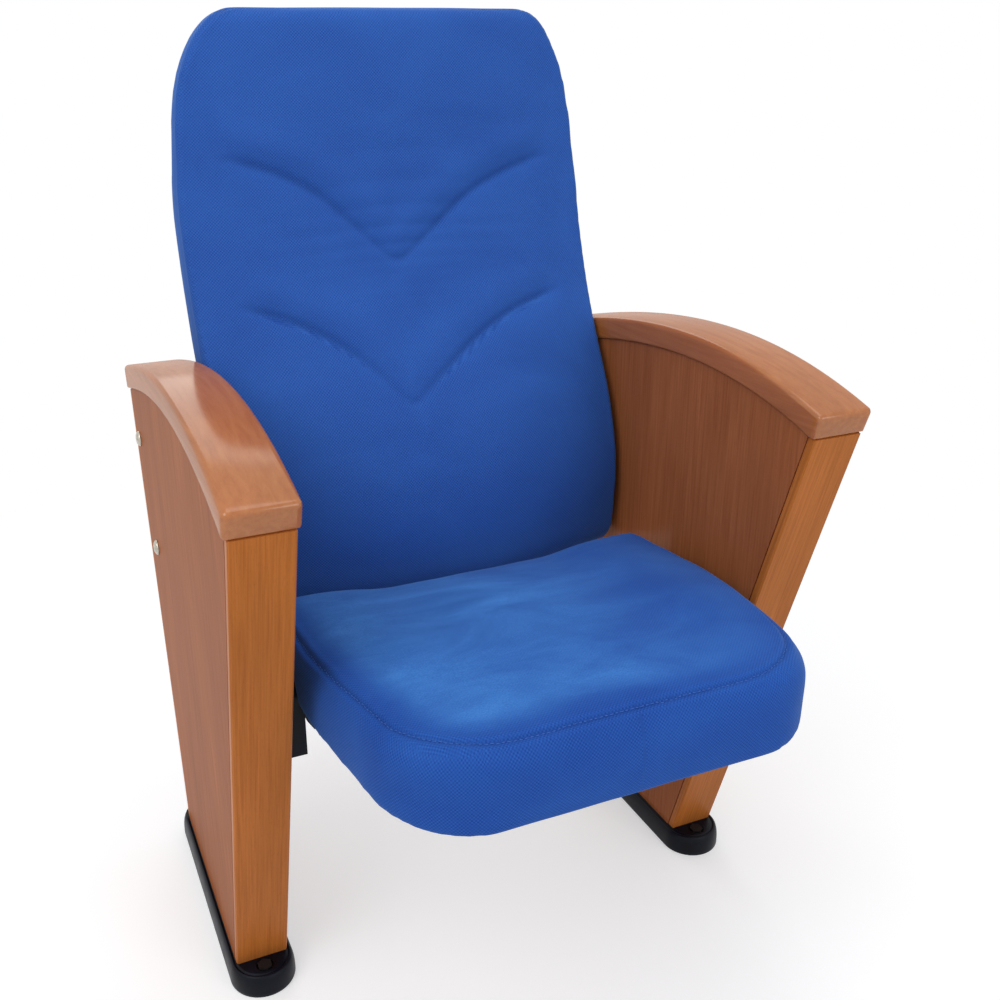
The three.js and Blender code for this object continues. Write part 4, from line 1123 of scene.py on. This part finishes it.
FLOOR_HALF = 6
FLOOR_PLAIN_RADIUS, FLOOR_WHITE_RADIUS = 0.55, 1.6


def seen_directly(tree):
    """1 for the rays that show the backdrop itself, to the camera, in a gloss or through a piece."""
    ray = add(tree, "ShaderNodeLightPath")
    seen = ray.outputs["Is Camera Ray"]
    for kind in ("Is Glossy Ray", "Is Transmission Ray"):
        seen = add(tree, "ShaderNodeMath", {0: seen, 1: ray.outputs[kind]}, operation="MAXIMUM")
    return seen


def floor():
    """A pale floor that keeps the shadows near the seat and is plain white further away."""
    corners = [(x * FLOOR_HALF, y * FLOOR_HALF, 0) for x, y in ((-1, -1), (1, -1), (1, 1), (-1, 1))]
    piece = mesh_object("floor", corners, [(0, 1, 2, 3)])
    material, tree, place = new_material("pale_floor")
    seen = seen_directly(tree)
    plain = add(tree, "ShaderNodeBsdfDiffuse", {"Color": (0.72, 0.72, 0.72, 1)})
    glow = add(tree, "ShaderNodeEmission", {"Color": (1, 1, 1, 1), "Strength": 0.42})
    none = add(tree, "ShaderNodeEmission", {"Color": (0, 0, 0, 1), "Strength": 0.0})
    extra = add(tree, "ShaderNodeMixShader", {0: seen, 1: none, 2: glow})
    both = add(tree, "ShaderNodeAddShader", {0: plain, 1: extra})
    away = add(tree, "ShaderNodeVectorMath", {0: place}, operation="LENGTH")
    far = add(tree, "ShaderNodeMapRange", {"Value": away, "From Min": FLOOR_PLAIN_RADIUS,
                                           "From Max": FLOOR_WHITE_RADIUS}, interpolation_type="SMOOTHSTEP")
    share = add(tree, "ShaderNodeMath", {0: far, 1: seen}, operation="MULTIPLY")
    white = add(tree, "ShaderNodeEmission", {"Color": (1, 1, 1, 1), "Strength": 1.0})
    shader = add(tree, "ShaderNodeMixShader", {0: share, 1: both, 2: white})
    add(tree, "ShaderNodeOutputMaterial", {"Surface": shader})
    piece.data.materials.append(material)


def world():
    """A soft, faintly cool surround, seen as plain white."""
    place = bpy.data.worlds.new("studio")
    scene.world = place
    place.use_nodes = True
    tree = place.node_tree
    tree.nodes.clear()
    soft = add(tree, "ShaderNodeBackground", {"Color": (0.93, 0.96, 1, 1), "Strength": 0.62})
    white = add(tree, "ShaderNodeBackground", {"Color": (1, 1, 1, 1), "Strength": 1.0})
    chosen = add(tree, "ShaderNodeMixShader", {0: seen_directly(tree), 1: soft, 2: white})
    add(tree, "ShaderNodeOutputWorld", {"Surface": chosen})


def lamp(name, place, target, size, power):
    """A round soft lamp, size across in metres and power in watts, turned to its target."""
    data = bpy.data.lights.new(name, "AREA")
    data.shape = "DISK"
    data.size = size
    data.energy = power
    piece = new_object(name, data)
    piece.location = place
    piece.rotation_mode = "QUATERNION"
    piece.rotation_quaternion = (Vector(target) - Vector(place)).to_track_quat("-Z", "Y")


floor()
world()
lamp("key", (-2.2, -1.3, 2.8), (0, 0, 0.5), 2.4, 33)
lamp("fill", (1.2, -2.6, 1.6), (0, 0, 0.5), 1.8, 14)
lamp("window", (0.3, 2.5, 1.9), (0, 0, 0.6), 2.2, 14)
lamp("ceiling", (0.0, 0.1, 3.0), (0, 0, 0.5), 1.7, 9)


# Camera, at the photograph's viewpoint

CAMERA_PLACE = (-455.5 * MM, -994.2 * MM, 960.9 * MM)
CAMERA_YAW, CAMERA_PITCH, CAMERA_ROLL = 22.85, -21.38, -0.71
FOCAL_PIXELS = 1098.8
CENTRE_PIXEL = (450.4, 487.1)
FRAME_PIXELS = 1000


def camera():
    data = bpy.data.cameras.new("camera")
    piece = new_object("camera", data)
    yaw, pitch, roll = (math.radians(a) for a in (CAMERA_YAW, CAMERA_PITCH, CAMERA_ROLL))
    ahead = Vector((math.sin(yaw) * math.cos(pitch), math.cos(yaw) * math.cos(pitch), math.sin(pitch)))
    right = Vector((math.cos(yaw), -math.sin(yaw), 0))
    up = right.cross(ahead)
    right, up = (right * math.cos(roll) + up * math.sin(roll),
                 up * math.cos(roll) - right * math.sin(roll))
    axes = Matrix((right, up, -ahead)).transposed().to_4x4()
    axes.translation = Vector(CAMERA_PLACE)
    piece.matrix_world = axes
    data.sensor_width = 36
    data.lens = FOCAL_PIXELS / FRAME_PIXELS * data.sensor_width
    data.shift_x = (FRAME_PIXELS / 2 - CENTRE_PIXEL[0]) / FRAME_PIXELS
    data.shift_y = (CENTRE_PIXEL[1] - FRAME_PIXELS / 2) / FRAME_PIXELS
    data.clip_start = 0.01
    scene.camera = piece


camera()
scene.view_settings.view_transform = "Standard"
